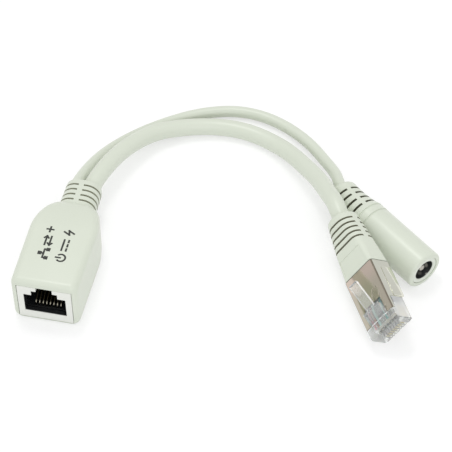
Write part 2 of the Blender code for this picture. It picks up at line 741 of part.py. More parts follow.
def make_plug_body(parent):
    wall = SHIELD_THICKNESS + SLIDE_GAP
    half = PLUG_NOSE_WIDTH / 2
    nose_bottom = PLUG_TOP - PLUG_NOSE_HEIGHT
    front_start = -SHIELD_TOP_LENGTH - SLIDE_GAP
    side_start = -SHIELD_SIDE_LENGTH - SLIDE_GAP
    rear_bottom = PLUG_TOP - PLUG_REAR_HEIGHT + wall
    corner = SHIELD_CORNER
    full = rounded_section(-half, half, nose_bottom, PLUG_TOP, corner, 3)
    low, high = nose_bottom + NOSE_CHAMFER, PLUG_TOP - NOSE_TOP_DROP
    nose = [
        (-PLUG_LENGTH, rounded_section(-half + NOSE_CHAMFER, half - NOSE_CHAMFER, low, high, corner, 3)),
        (
            -PLUG_LENGTH + NOSE_CHAMFER,
            rounded_section(-half, half, nose_bottom, PLUG_TOP - NOSE_CHAMFER, corner, 3),
        ),
        (-PLUG_LENGTH + NOSE_TOP_LENGTH, full),
        (front_start, full),
    ]
    body = add_object("plug_body", loft_mesh("plug_body", nose), CLEAR_PLASTIC, parent)
    strip = PLUG_TOP - SHIELD_CORNER - SHIELD_THICKNESS - SLIDE_GAP
    inside = SHIELD_CORNER - SHIELD_THICKNESS
    flank = rounded_section(-half, half, nose_bottom, strip, corner, 3)
    inner = rounded_section(-half + wall, half - wall, nose_bottom + wall, PLUG_TOP - wall, inside, 3)
    rear = rounded_section(-half + wall, half - wall, rear_bottom, PLUG_TOP - wall - JOIN, inside, 3)
    pieces = (
        ("flank", flank, front_start - JOIN, side_start),
        ("inner", inner, front_start - JOIN, -SEAT_GAP),
        ("rear", rear, -SHIELD_STEP_START, -SEAT_GAP),
    )
    for name, outline, low, high in pieces:
        addition = loft_mesh(f"{name}_joined", [(low, outline), (high, outline)])
        grown = add_object(f"{name}_joined", addition, parent=parent)
        cut(body, grown, "UNION")

    root_y = -PLUG_LENGTH + NOSE_TOP_LENGTH
    knee_y = root_y + LATCH_ROOT_LENGTH
    tip_y = -LATCH_REACH
    thick = LATCH_THICKNESS
    slope = LATCH_RISE / (tip_y - root_y - thick)
    knee_z = PLUG_TOP + (knee_y - root_y - thick) * slope
    tip_z = PLUG_TOP + LATCH_RISE
    root = [(root_y, PLUG_TOP - thick), (root_y + JOIN, PLUG_TOP - JOIN), (root_y + thick, PLUG_TOP + JOIN)]
    root += [(knee_y, knee_z + JOIN), (knee_y, knee_z - thick), (root_y + 2 * thick, PLUG_TOP - thick)]
    lever_y, lever_z = knee_y - thick, knee_z - 2 * JOIN
    lever = [(lever_y, lever_z), (tip_y, tip_z), (tip_y, tip_z - LATCH_TIP), (lever_y, lever_z - LATCH_TIP)]
    wide = prism("latch_root_joined", root, -LATCH_ROOT_WIDTH / 2, LATCH_ROOT_WIDTH / 2, "X", parent=parent)
    narrow = prism("latch_lever_joined", lever, -LATCH_WIDTH / 2, LATCH_WIDTH / 2, "X", parent=parent)
    cut(body, wide, "UNION")
    cut(body, narrow, "UNION")
    gap_under = blocks(
        "latch_gap_cutter",
        [
            (
                (-WINDOW_WIDTH / 2, root_y + 2.2 * thick, PLUG_TOP - wall - JOIN / 2),
                (WINDOW_WIDTH / 2, front_start + JOIN, PLUG_TOP - JOIN / 4),
            )
        ],
        parent=parent,
    )
    cut(body, gap_under)

    slot_top = nose_bottom + BLADE_HEIGHT + SEAT_GAP
    slots = [
        (
            (x - BLADE_SLOT_WIDTH / 2, -PLUG_LENGTH - PAST, nose_bottom - PAST),
            (x + BLADE_SLOT_WIDTH / 2, -PLUG_LENGTH + BLADE_SLOT_LENGTH, slot_top),
        )
        for x in CONTACT_XS
    ]
    cut(body, blocks("blade_slot_cutter", slots, parent=parent))
    wire_z = wire_height()
    channel = [
        (
            (-WIRE_SLOT_WIDTH / 2, -PLUG_LENGTH + WIRE_SLOT_START, wire_z - WIRE_SLOT_HEIGHT / 2),
            (WIRE_SLOT_WIDTH / 2, PAST, wire_z + WIRE_SLOT_HEIGHT / 2),
        )
    ]
    cut(body, blocks("wire_slot_cutter", channel, parent=parent))
    room_low = (-WIRE_SLOT_WIDTH / 2, -WIRE_ROOM_LENGTH, -WIRE_ROOM_DEPTH)
    room = [(room_low, (WIRE_SLOT_WIDTH / 2, PAST, wire_z + JOIN / 2))]
    cut(body, blocks("wire_room_cutter", room, parent=parent))
    return body


def wire_height():
    """Where the wires lie in the plug: just over the blades."""
    return PLUG_TOP - PLUG_NOSE_HEIGHT + BLADE_HEIGHT + SEAT_GAP + BLADE_ROOF + WIRE_SLOT_HEIGHT / 2


def make_blades(parent):
    bottom = PLUG_TOP - PLUG_NOSE_HEIGHT + SEAT_GAP
    start = -PLUG_LENGTH + BLADE_SET_BACK
    for number, x in enumerate(CONTACT_XS, 1):
        low = (x - BLADE_THICKNESS / 2, start, bottom)
        high = (x + BLADE_THICKNESS / 2, start + BLADE_LENGTH, bottom + BLADE_HEIGHT - SEAT_GAP)
        blocks(f"plug_contact_{number}", [(low, high)], GOLD, parent)


def make_plug_wires(parent):
    z = wire_height()
    corners = ((-1, -1), (-1, 1), (1, 1), (1, -1))
    for number, (pin, (side, up)) in enumerate(zip(DATA_PINS, corners)):
        near = Vector((side * WIRE_SPREAD, 0.0, up * WIRE_SPREAD))
        x = CONTACT_XS[pin]
        points = [
            near + Vector((0, BOOT_LENGTH, 0)),
            near + Vector((0, WIRE_SPLICE, 0)),
            near.lerp(Vector((x, 0, z)), 0.08) + Vector((0, -WIRE_SPLICE, 0)),
            near.lerp(Vector((x, 0, z)), 0.92) + Vector((0, 2 * WIRE_SPLICE - WIRE_ROOM_LENGTH, 0)),
            Vector((x, WIRE_SPLICE - WIRE_ROOM_LENGTH, z)),
            Vector((x, -PLUG_LENGTH + WIRE_SLOT_START + SEAT_GAP, z)),
        ]
        tube(f"plug_wire_{number + 1}", points, WIRE_DIAMETER, WIRE_COLOURS[number], parent)


def boot_section(y, inset=0.0):
    """The boot's section: the plug's rectangle at its edge, and round at the cable."""
    if y <= BOOT_MIDDLE:
        share = y / BOOT_MIDDLE
        near = (PLUG_WIDTH, PLUG_REAR_HEIGHT, PLUG_TOP, BOOT_CORNER)
        far = (BOOT_MIDDLE_WIDTH, BOOT_MIDDLE_HEIGHT, BOOT_MIDDLE_TOP, BOOT_MIDDLE_CORNER)
    else:
        share = (y - BOOT_MIDDLE) / (BOOT_LENGTH - BOOT_MIDDLE)
        near = (BOOT_MIDDLE_WIDTH, BOOT_MIDDLE_HEIGHT, BOOT_MIDDLE_TOP, BOOT_MIDDLE_CORNER)
        radius = BOOT_END_DIAMETER / 2
        far = (BOOT_END_DIAMETER, BOOT_END_DIAMETER, radius, radius - ROUND_SPARE)
    width, height, top, radius = (a + (b - a) * share for a, b in zip(near, far))
    half = width / 2 - inset
    corner = max(radius - inset, LEAST_CORNER)
    return y, rounded_section(-half, half, top - height + inset, top - inset, corner, 4)


def make_boot(parent):
    places = [0.0] + [BOOT_MIDDLE * share for share in (0.5, 1.0)]
    places += [BOOT_MIDDLE + (BOOT_LENGTH - BOOT_MIDDLE) * share for share in (0.35, 0.7, 0.94)]
    sections = [boot_section(y) for y in places]
    sections.append((BOOT_LENGTH, boot_section(BOOT_LENGTH, RELIEF_END_ROUND)[1]))
    boot = add_object("plug_boot", loft_mesh("plug_boot", sections), SOFT_PVC, parent)
    cut(boot, cylinder("boot_bore_cutter", DATA_BORE / 2, -PAST, BOOT_LENGTH + PAST, parent=parent))
    stations = [BOOT_LENGTH - BOOT_SLOT_START - BOOT_SLOT_PITCH * i for i in range(BOOT_SLOTS)]
    spine_low = BOOT_SPINE_OFFSET - BOOT_SPINE_WIDTH / 2
    spine_high = BOOT_SPINE_OFFSET + BOOT_SPINE_WIDTH / 2
    cells = side_blocks(stations, spine_low, spine_high, PLUG_WIDTH, "Z")
    comb = blocks("boot_slot_cutter", cells, parent=parent)
    core_places = (BOOT_MIDDLE - PAST, BOOT_MIDDLE, BOOT_MIDDLE + 4 * PAST, BOOT_LENGTH)
    core = loft_mesh("boot_core_cutter", [boot_section(y, BOOT_SLOT_DEPTH) for y in core_places])
    cut(comb, add_object("boot_core_cutter", core, parent=parent))
    cut(boot, comb)
    smooth(boot)
    return boot


def make_plug():
    place = empty("plug_frame", plug_place())
    make_boot(place)
    make_shield(place)
    make_plug_body(place)
    make_blades(place)
    make_plug_wires(place)


# The DC socket


def bent(point):
    """Carries a point of the straight DC socket to where its flexed relief holds it."""
    point = Vector(point)
    along = point.y - DC_BODY_LENGTH
    if along <= 0:
        return point
    curl = DC_BEND / DC_RELIEF_LENGTH
    angle = curl * along
    reach = 1 / curl - point.x
    return Vector((1 / curl - reach * math.cos(angle), DC_BODY_LENGTH + reach * math.sin(angle), point.z))


def dc_profile():
    """The outer side from the face to the relief's end, and back through the bores."""
    radius = DC_DIAMETER / 2
    profile = []
    for step in range(4):
        angle = math.radians(30 * step)
        profile.append(
            (
                radius - DC_FACE_ROUND * (1 - math.sin(angle)),
                DC_FACE_ROUND * (1 - math.cos(angle)),
            )
        )
    for y in DC_GROOVE_PLACES:
        half = DC_GROOVE_WIDTH / 2
        profile += [(radius, y - half), (radius - DC_GROOVE_DEPTH, y - half / 2)]
        profile += [(radius - DC_GROOVE_DEPTH, y + half / 2), (radius, y + half)]
    base = DC_RELIEF_BASE_DIAMETER / 2
    end = DC_RELIEF_END_DIAMETER / 2
    profile += [(radius - DC_STEP_ROUND / 3, DC_BODY_LENGTH), (base, DC_BODY_LENGTH + DC_STEP_ROUND)]
    for share in (0.25, 0.5, 0.75, 0.96):
        profile.append((base + (end - base) * share, DC_BODY_LENGTH + DC_RELIEF_LENGTH * share))
    profile.append((end - RELIEF_END_ROUND, DC_LENGTH))
    bore = POWER_BORE / 2
    room_start = DC_INSERT_LENGTH + DC_TAIL
    room_end = room_start + DC_ROOM_LENGTH
    for share in (1.0, 0.75, 0.5, 0.25, 0.0):
        profile.append((bore, DC_BODY_LENGTH + DC_RELIEF_LENGTH * share))
    room = DC_ROOM_DIAMETER / 2
    seat = DC_INSERT_DIAMETER / 2 + SLIDE_GAP
    profile += [(bore, room_end), (room, room_end - PAST), (room, room_start - DC_TAIL + SEAT_GAP)]
    profile += [(seat, room_start - DC_TAIL + SEAT_GAP), (seat, 0.0)]
    return profile


def make_dc_housing(parent):
    housing = turned("dc_housing", dc_profile(), 28, SOFT_PVC, parent)
    stations = [DC_LENGTH - DC_SLOT_START - DC_SLOT_PITCH * i for i in range(DC_SLOTS)]
    half_spine = DC_SPINE_WIDTH / 2
    cells = side_blocks(stations, -half_spine, half_spine, DC_DIAMETER)
    comb = blocks("dc_slot_cutter", cells, parent=parent)
    base = DC_RELIEF_BASE_DIAMETER / 2 - SLOT_DEPTH
    end = DC_RELIEF_END_DIAMETER / 2 - SLOT_DEPTH
    start = DC_BODY_LENGTH - PAST
    outline = [(base, start), (end, DC_LENGTH), (0.0, DC_LENGTH), (0.0, start)]
    cut(comb, settle(turned("dc_core_cutter", outline, 28, parent=parent)))
    cut(housing, comb)
    settle(housing)
    for vertex in housing.data.vertices:
        vertex.co = bent(vertex.co)
    smooth(housing)
    return housing


def make_dc_insert(parent):
    outer = DC_INSERT_DIAMETER / 2
    hole = DC_HOLE_DIAMETER / 2
    pin_hole = DC_PIN_DIAMETER / 2 + SLIDE_GAP
    front = DC_INSERT_INSET
    profile = [
        (outer, front),
        (outer, DC_INSERT_LENGTH),
        (pin_hole, DC_INSERT_LENGTH),
        (pin_hole, DC_HOLE_DEPTH),
        (hole, DC_HOLE_DEPTH),
        (hole, front + DC_HOLE_CHAMFER),
        (hole + DC_HOLE_CHAMFER, front),
    ]
    insert = turned("dc_insert", profile, 24, WHITE_FRAME, parent)
    level = spring_level()
    half = DC_SPRING_WIDTH / 2 + SLIDE_GAP
    slit = [
        (
            (-half, DC_HOLE_DEPTH - PAST, level - DC_SPRING_THICKNESS / 2 - SLIDE_GAP),
            (half, DC_INSERT_LENGTH + PAST, level + DC_SPRING_THICKNESS / 2 + SLIDE_GAP),
        )
    ]
    cut(insert, blocks("spring_slit_cutter", slit, parent=parent))
    return insert


def spring_level():
    """The height at which the contact spring leaves the hole through the insert's base."""
    return DC_HOLE_DIAMETER / 2 - DC_SPRING_THICKNESS / 2 - DC_SPRING_INSET


def make_dc_contacts(parent):
    radius = DC_PIN_DIAMETER / 2
    profile = [(0.0, DC_PIN_INSET)]
    for step in range(1, 4):
        angle = math.radians(30 * step)
        profile.append((radius * math.sin(angle), DC_PIN_INSET + DC_PIN_ROUND * (1 - math.cos(angle))))
    tail_end = DC_INSERT_LENGTH + DC_TAIL - SEAT_GAP
    profile += [(radius, tail_end), (0.0, tail_end)]
    turned("dc_pin", profile, 16, NICKEL, parent)
    level = spring_level()
    thick = DC_SPRING_THICKNESS
    way = [
        (DC_SPRING_START, level),
        ((DC_SPRING_START + DC_HOLE_DEPTH) / 2 - PAST, level - DC_SPRING_BOW),
        (DC_HOLE_DEPTH - 2 * PAST, level),
        (DC_INSERT_LENGTH + DC_TAIL - SEAT_GAP, level),
    ]
    outline = [(y, z + thick / 2) for y, z in way] + [(y, z - thick / 2) for y, z in reversed(way)]
    prism("dc_spring", outline, -DC_SPRING_WIDTH / 2, DC_SPRING_WIDTH / 2, "X", NICKEL, parent)
    tail = DC_INSERT_LENGTH + DC_TAIL
    room_end = tail + DC_ROOM_LENGTH
    for number, side in enumerate((-1, 1)):
        height = 0.0 if side < 0 else level
        straight = [Vector((0, tail, height)), Vector((0, tail + PAST, height))]
        straight += [Vector((side * DC_WIRE_SPREAD, room_end - PAST, 0))]
        share_step = (DC_LENGTH - room_end) / 6
        for step in range(7):
            straight.append(Vector((side * DC_WIRE_SPREAD, room_end + share_step * step, 0)))
        points = [bent(point) for point in straight]
        tube(f"dc_wire_{number + 1}", points, POWER_WIRE_DIAMETER, POWER_COLOURS[number], parent)


def dc_place():
    return Matrix.Translation(DC_FACE) @ Matrix.Rotation(DC_YAW, 4, "Z")


def make_dc_socket():
    place = empty("dc_frame", dc_place())
    make_dc_housing(place)
    make_dc_insert(place)
    make_dc_contacts(place)


# The cables


def make_cables():
    plug = plug_place()
    data = cable_points(
        Vector((DATA_EXIT_X, EXIT_Y + SEAT_GAP, EXIT_Z)),
        Vector((DATA_EXIT_X, EXIT_Y + STRAIGHT_START, EXIT_Z)),
        DATA_WAY,
        plug @ Vector((0, BOOT_LENGTH + STRAIGHT_START, 0)),
        plug @ Vector((0, BOOT_LENGTH + SEAT_GAP, 0)),
    )
    tube("data_cable", data, DATA_CABLE_DIAMETER, SOFT_PVC, sides=3)
    dc = dc_place()
    power = cable_points(
        Vector((POWER_EXIT_X, EXIT_Y + SEAT_GAP, EXIT_Z)),
        Vector((POWER_EXIT_X, EXIT_Y + STRAIGHT_START, EXIT_Z)),
        POWER_WAY,
        dc @ bent((0, DC_LENGTH + STRAIGHT_START, 0)),
        dc @ bent((0, DC_LENGTH + SEAT_GAP, 0)),
    )
    tube("power_cable", power, POWER_CABLE_DIAMETER, SOFT_PVC, sides=2)


make_socket_end()
make_board_and_wires()
make_plug()
make_dc_socket()
make_cables()
bpy.context.view_layer.update()
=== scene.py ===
# %% [markdown]
# # A power over ethernet injector cable
# One short harness in pale soft PVC: a moulded socket end with a network port, a thick data
# cable to a shielded network plug, and a thin power cable to a round power socket. The solids
# come from the CAD pack; this lesson gives each one its fine shape and its finish.

import math

import bmesh
import bpy
from mathutils import Matrix, Vector


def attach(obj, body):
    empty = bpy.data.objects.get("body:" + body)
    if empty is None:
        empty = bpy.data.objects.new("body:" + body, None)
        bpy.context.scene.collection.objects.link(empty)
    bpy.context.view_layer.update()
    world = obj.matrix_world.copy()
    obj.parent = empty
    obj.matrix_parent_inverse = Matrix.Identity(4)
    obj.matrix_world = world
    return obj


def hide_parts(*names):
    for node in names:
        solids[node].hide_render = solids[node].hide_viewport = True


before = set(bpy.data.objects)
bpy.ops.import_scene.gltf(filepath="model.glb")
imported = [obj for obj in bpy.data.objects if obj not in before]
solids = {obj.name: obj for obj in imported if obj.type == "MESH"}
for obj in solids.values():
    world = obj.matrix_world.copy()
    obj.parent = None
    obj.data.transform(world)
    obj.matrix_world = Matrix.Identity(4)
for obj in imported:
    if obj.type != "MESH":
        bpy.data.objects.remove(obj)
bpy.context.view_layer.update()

# %% [markdown]
# ## The camera
# The picture was taken from above and in front with a long lens. The point that the camera aims
# at lies on the table, between the plug and the socket end.

# %% Place the camera
AIM = Vector((0.0417, 0.0229, 0.0))
AZIMUTH = math.radians(11.23)
ELEVATION = math.radians(48.82)
CAMERA_ROLL = math.radians(0.33)
DISTANCE = 0.4847

lens = bpy.data.cameras.new("camera")
lens.lens = 132.2
lens.sensor_width = 36.0
lens.clip_start = 0.01
camera = bpy.data.objects.new("camera", lens)
bpy.context.scene.collection.objects.link(camera)
turn = Matrix.Rotation(AZIMUTH, 4, "Z")
turn = turn @ Matrix.Rotation(math.pi / 2 - ELEVATION, 4, "X")
turn = turn @ Matrix.Rotation(CAMERA_ROLL, 4, "Z")
camera.matrix_world = Matrix.Translation(AIM) @ turn @ Matrix.Translation((0, 0, DISTANCE))
bpy.context.scene.camera = camera
print("camera at", tuple(round(value, 4) for value in camera.matrix_world.translation))

# %% [markdown]
# ## Where the plug and the power socket lie
# The plug and the power socket are each drawn straight, with the open end towards -Y, and then
# carried to where they lie. The plug leans on the power socket, so it is turned, dipped and
# rolled. The power socket lies flat, and only its soft relief is bent.

# %% Sizes that the cables, the plug and the power socket share
PLUG_PLACE = Vector((0.08497, 0.00610, 0.00914))
PLUG_YAW = math.radians(30.03)
PLUG_PITCH = math.radians(5.0)
PLUG_ROLL = math.radians(-55.9)
BOOT_LENGTH = 0.0188
DC_DIAMETER = 0.0117
DC_BODY_LENGTH = 0.0252
DC_RELIEF_LENGTH = 0.0122
DC_LENGTH = DC_BODY_LENGTH + DC_RELIEF_LENGTH
DC_BEND = math.radians(16.6)
DC_YAW = math.radians(49.6)
DC_FACE = Vector((0.10073, 0.0128, DC_DIAMETER / 2))

plug_frame = Matrix.Translation(PLUG_PLACE) @ Matrix.Rotation(PLUG_YAW, 4, "Z")
plug_frame = plug_frame @ Matrix.Rotation(PLUG_PITCH, 4, "X") @ Matrix.Rotation(PLUG_ROLL, 4, "Y")
dc_frame = Matrix.Translation(DC_FACE) @ Matrix.Rotation(DC_YAW, 4, "Z")
print("plug and power socket placed")


# %% The power socket's relief is bent, and this carries a straight point along
def bent(point):
    point = Vector(point)
    along = point.y - DC_BODY_LENGTH
    if along <= 0:
        return point
    curl = DC_BEND / DC_RELIEF_LENGTH
    reach = 1 / curl - point.x
    angle = curl * along
    side = 1 / curl - reach * math.cos(angle)
    return Vector((side, DC_BODY_LENGTH + reach * math.sin(angle), point.z))


print("the relief's end lies at", tuple(dc_frame @ bent((0, DC_LENGTH, 0))))

# %% [markdown]
# ## Shader sums in plain Python
# A material's graph is easier to read as a formula. `Reading` wraps one socket, and its
# operators add Math nodes, so `1 - mask * 0.3` makes the nodes for that sum. Any other node
# comes from `Graph.node`.


# %% A socket that can be added and multiplied
class Reading:
    def __init__(self, graph, socket):
        self.graph = graph
        self.socket = socket

    def sum(self, operation, first, second):
        node = self.graph.node("ShaderNodeMath", {"operation": operation}, {0: first, 1: second})
        return Reading(self.graph, node.outputs[0])

    def __add__(self, other):
        return self.sum("ADD", self, other)

    def __radd__(self, other):
        return self.sum("ADD", other, self)

    def __sub__(self, other):
        return self.sum("SUBTRACT", self, other)

    def __rsub__(self, other):
        return self.sum("SUBTRACT", other, self)

    def __mul__(self, other):
        return self.sum("MULTIPLY", self, other)

    def __rmul__(self, other):
        return self.sum("MULTIPLY", other, self)

    def __pow__(self, other):
        return self.sum("POWER", self, other)

    def __abs__(self):
        return self.sum("ABSOLUTE", self, 0)


# %% A material's graph, with one method for every node
class Graph:
    def __init__(self, name):
        self.material = bpy.data.materials.new(name)
        self.material.use_nodes = True
        self.nodes = self.material.node_tree.nodes
        self.links = self.material.node_tree.links
        self.shader = self.nodes["Principled BSDF"]

    def feed(self, socket, value):
        if isinstance(value, Reading):
            self.links.new(value.socket, socket)
        elif isinstance(value, bpy.types.NodeSocket):
            self.links.new(value, socket)
        else:
            socket.default_value = value

    def node(self, kind, settings=None, values=None):
        made = self.nodes.new(kind)
        for name, value in (settings or {}).items():
            setattr(made, name, value)
        for name, value in (values or {}).items():
            self.feed(made.inputs[name], value)
        return made

    def set(self, **values):
        for name, value in values.items():
            self.feed(self.shader.inputs[name.replace("_", " ")], value)

    def place(self, stretch=(1, 1, 1), turned=None):
        """Object coordinates, in the frame of a piece when its matrix is given, and stretched."""
        source = self.node("ShaderNodeTexCoord").outputs["Object"]
        if turned:
            back = turned.inverted()
            values = {"Vector": source, "Location": back.translation, "Rotation": back.to_euler()}
            source = self.node("ShaderNodeMapping", None, values).outputs[0]
        if stretch != (1, 1, 1):
            values = {"Vector": source, "Scale": stretch}
            source = self.node("ShaderNodeMapping", None, values).outputs[0]
        return source

    def axes(self, turned=None):
        split = self.node("ShaderNodeSeparateXYZ", None, {0: self.place(turned=turned)})
        return [Reading(self, output) for output in split.outputs]

    def noise(self, scale, detail=2.0, place=None):
        place = place or self.place()
        values = {"Vector": place, "Scale": scale, "Detail": detail}
        return Reading(self, self.node("ShaderNodeTexNoise", None, values).outputs[0])

    def rise(self, reading, low, high):
        """0 below low, 1 above high, and soft between them."""
        settings = {"interpolation_type": "SMOOTHSTEP"}
        made = self.node("ShaderNodeMapRange", settings, {0: reading, 1: low, 2: high})
        return Reading(self, made.outputs[0])

    def blend(self, mask, first, second):
        """The first colour where the mask is 0, and the second where it is 1."""
        first, second = (
            (*colour, 1) if isinstance(colour, tuple) else colour for colour in (first, second)
        )
        values = {0: mask, 6: first, 7: second}
        return self.node("ShaderNodeMix", {"data_type": "RGBA"}, values).outputs[2]

    def relief(self, height, depth):
        values = {"Strength": 1.0, "Distance": depth, "Height": height}
        self.set(Normal=self.node("ShaderNodeBump", None, values).outputs[0])


print("a socket class and a graph class are ready")

# %% [markdown]
# ## The finishes
# Soft PVC from a mould has a very fine grain, an even pale colour and a satin gloss that varies
# a little with handling. The colour of each finish is written as the real one looks in plain
# light, and noise at two sizes gives it cloud and grain.

# %% Pale colours of the PVC, clean and where hands have touched it
PVC_LIGHT = (0.705, 0.745, 0.640)
PVC_DULL = (0.670, 0.715, 0.605)
# The three slot colours are painted shade: little light reaches into the slots, so their walls are
# written dark.
DC_SLOT_SHADE = (0.170, 0.170, 0.120)
BOOT_SLOT_SHADE = (0.280, 0.275, 0.205)
NECK_SLOT_SHADE = (0.400, 0.410, 0.320)
PVC_ROUGHNESS = 0.34
PVC_COAT = 0.25
PVC_COAT_ROUGHNESS = 0.21
CLOUD_SCALE = 90.0
GRAIN_SCALE = 5200.0
GRAIN_DEPTH = 0.000006
DUST_SCALE = 700.0
DUST_LIGHT = 1.3
DUST_ROUGHNESS = 0.62


# %% Soft moulded PVC
def soft_pvc():
    graph = Graph("soft_pvc")
    cloud = graph.noise(CLOUD_SCALE, 3.0)
    grain = graph.noise(GRAIN_SCALE, 2.0)
    graph.set(Base_Color=graph.blend(cloud, PVC_DULL, PVC_LIGHT))
    graph.set(Roughness=PVC_ROUGHNESS + cloud * 0.08 + grain * 0.06)
    graph.set(Coat_Weight=PVC_COAT, Coat_Roughness=PVC_COAT_ROUGHNESS)
    graph.relief(grain, GRAIN_DEPTH)
    return graph.material

# %% [markdown]
# The slots of the strain reliefs are narrow and little light gets into them, so their walls get a
# darker PVC of their own: painted shade, with a mottle of dust. It is darkest on the power socket
# and least dark on the neck of the socket end. The cutters carry it, and leave it on the walls that
# they cut.


# %% Painted shade on the walls of the slots, with a mottle of dust
def painted_slot_shade(name, shade):
    graph = Graph(name)
    cloud = graph.noise(DUST_SCALE, 3.0)
    dust_on_shade = tuple(value * DUST_LIGHT for value in shade)
    graph.set(Base_Color=graph.blend(cloud, shade, dust_on_shade), Roughness=DUST_ROUGHNESS + cloud * 0.15)
    graph.relief(graph.noise(GRAIN_SCALE, 2.0), GRAIN_DEPTH)
    return graph.material


SOFT_PVC = soft_pvc()
DC_SLOT_PVC = painted_slot_shade("dc_slot_painted_shade", DC_SLOT_SHADE)
BOOT_SLOT_PVC = painted_slot_shade("boot_slot_painted_shade", BOOT_SLOT_SHADE)
NECK_SLOT_PVC = painted_slot_shade("neck_slot_painted_shade", NECK_SLOT_SHADE)
print("made", SOFT_PVC.name, DC_SLOT_PVC.name, BOOT_SLOT_PVC.name, NECK_SLOT_PVC.name)

# %% [markdown]
# The black insert, the solder mask and the jackets of the wires are harder plastics, coloured
# all through, with a finer cloud and grain than the PVC.

# %% Plastics that are coloured all through
FINE_CLOUD_SCALE = 240.0
FINE_GRAIN_SCALE = 6500.0
SATIN = 0.40


def plastic(name, light, dark, roughness, grain_depth=0.000004):
    graph = Graph(name)
    cloud = graph.noise(FINE_CLOUD_SCALE, 3.0)
    grain = graph.noise(FINE_GRAIN_SCALE, 1.0)
    graph.set(Base_Color=graph.blend(cloud, dark, light), Roughness=roughness - 0.04 + cloud * 0.08)
    graph.relief(grain, grain_depth)
    return graph.material


BLACK_PLASTIC = plastic("black_plastic", (0.010, 0.011, 0.013), (0.007, 0.008, 0.009), 0.42)
BOARD_GREEN = plastic("board", (0.03, 0.20, 0.09), (0.02, 0.15, 0.06), SATIN)
WIRE_FINISHES = [
    plastic("wire_pink", (0.82, 0.38, 0.42), (0.76, 0.32, 0.37), SATIN),
    plastic("wire_rust", (0.42, 0.17, 0.08), (0.36, 0.14, 0.07), SATIN),
    plastic("wire_white_teal", (0.48, 0.74, 0.68), (0.42, 0.68, 0.62), SATIN),
    plastic("wire_teal", (0.05, 0.42, 0.38), (0.04, 0.36, 0.33), SATIN),
]
POWER_FINISHES = [
    plastic("wire_red", (0.55, 0.03, 0.03), (0.48, 0.02, 0.02), SATIN),
    plastic("wire_black", (0.02, 0.02, 0.02), (0.014, 0.014, 0.014), SATIN),
]
print("made", 2 + len(WIRE_FINISHES) + len(POWER_FINISHES), "plastics")

# %% [markdown]
# The frame round the port and the ring in the power socket are pale in front and black where
# they turn into their openings, because the black insert behind shows through and no light
# comes back out. A mask from the piece's own coordinates divides the two.

# %% Where the pale front ends
FRONT_Y = -0.0216
PORT_HALF = 0.0062
PORT_LOW = 0.0035
PORT_HIGH = 0.0124
DC_HOLE_RADIUS = 0.0031
PALE_FRAME = (0.835, 0.845, 0.790)
DULL_FRAME = (0.800, 0.812, 0.755)
PALE_RING = (0.740, 0.775, 0.690)
DULL_RING = (0.705, 0.745, 0.655)
INNER_DARK = (0.016, 0.017, 0.018)
FRAME_ROUGHNESS = 0.30
FRAME_GRAIN_DEPTH = 0.000003
SOFT_STEP = 0.0001


# %% The frame of the port
def port_frame():
    graph = Graph("port_frame")
    cloud = graph.noise(FINE_CLOUD_SCALE, 3.0)
    x, y, z = graph.axes()
    inside = graph.rise(PORT_HALF - abs(x), 0.0, SOFT_STEP)
    inside = inside * graph.rise(z, PORT_LOW - SOFT_STEP, PORT_LOW)
    inside = inside * graph.rise(PORT_HIGH - z, 0.0, SOFT_STEP)
    deep = inside * graph.rise(y, FRONT_Y + SOFT_STEP, FRONT_Y + 3 * SOFT_STEP)
    pale = graph.blend(cloud, DULL_FRAME, PALE_FRAME)
    colour = graph.blend(deep, pale, INNER_DARK)
    graph.set(Base_Color=colour, Roughness=FRAME_ROUGHNESS + cloud * 0.08)
    graph.relief(graph.noise(FINE_GRAIN_SCALE, 1.0), FRAME_GRAIN_DEPTH)
    return graph.material

# %% [markdown]
# Painted reflections shine out of the dark on the hole's wall. Each is a round mask in the power
# socket's own frame: its place, its radius and how light it is.

# %% The ring in the end of the power socket, with painted reflections in its hole
PAINTED_HOLE_GLINTS = (
    ((0.00268, 0.00225, -0.00155), 0.0009, 0.34),
    ((0.00016, 0.00210, -0.00310), 0.0010, 0.14),
    ((0.00136, 0.00045, -0.00279), 0.0005, 0.40),
)
GLINT_TINT = (1.00, 0.97, 0.86)
RING_ROUGHNESS = 0.34
HOLE_RIM = 0.0002
HOLE_PALE, HOLE_DARK = 0.0003, 0.0005


def socket_ring():
    graph = Graph("socket_ring")
    cloud = graph.noise(FINE_CLOUD_SCALE, 3.0)
    x, y, z = graph.axes(dc_frame)
    away = (x * x + z * z) ** 0.5
    hole = graph.rise(DC_HOLE_RADIUS + HOLE_RIM - away, 0.0, SOFT_STEP)
    hole = hole * graph.rise(y, HOLE_PALE, HOLE_DARK)
    pale = graph.blend(cloud, DULL_RING, PALE_RING)
    inner = INNER_DARK
    # Each round patch is a painted reflection on the dark wall of the hole.
    for (glint_x, glint_y, glint_z), radius, light in PAINTED_HOLE_GLINTS:
        across, along, up = x - glint_x, y - glint_y, z - glint_z
        distance = (across * across + along * along + up * up) ** 0.5
        tint = tuple(light * value for value in GLINT_TINT)
        inner = graph.blend(graph.rise(radius - distance, 0.0, radius * 0.7), inner, tint)
    colour = graph.blend(hole, pale, inner)
    graph.set(Base_Color=colour, Roughness=RING_ROUGHNESS + cloud * 0.08)
    graph.relief(graph.noise(FINE_GRAIN_SCALE, 1.0), FRAME_GRAIN_DEPTH)
    return graph.material


PORT_FRAME = port_frame()
SOCKET_RING = socket_ring()
print("made", PORT_FRAME.name, "and", SOCKET_RING.name)

# %% [markdown]
# The nose and the lever of the plug are clear polycarbonate. It is written with less bending
# than the real plastic has, so that light passes the many thin walls as it does in a real plug.
# Edges, narrow sides and the end are milkier, because light that runs inside comes out there.

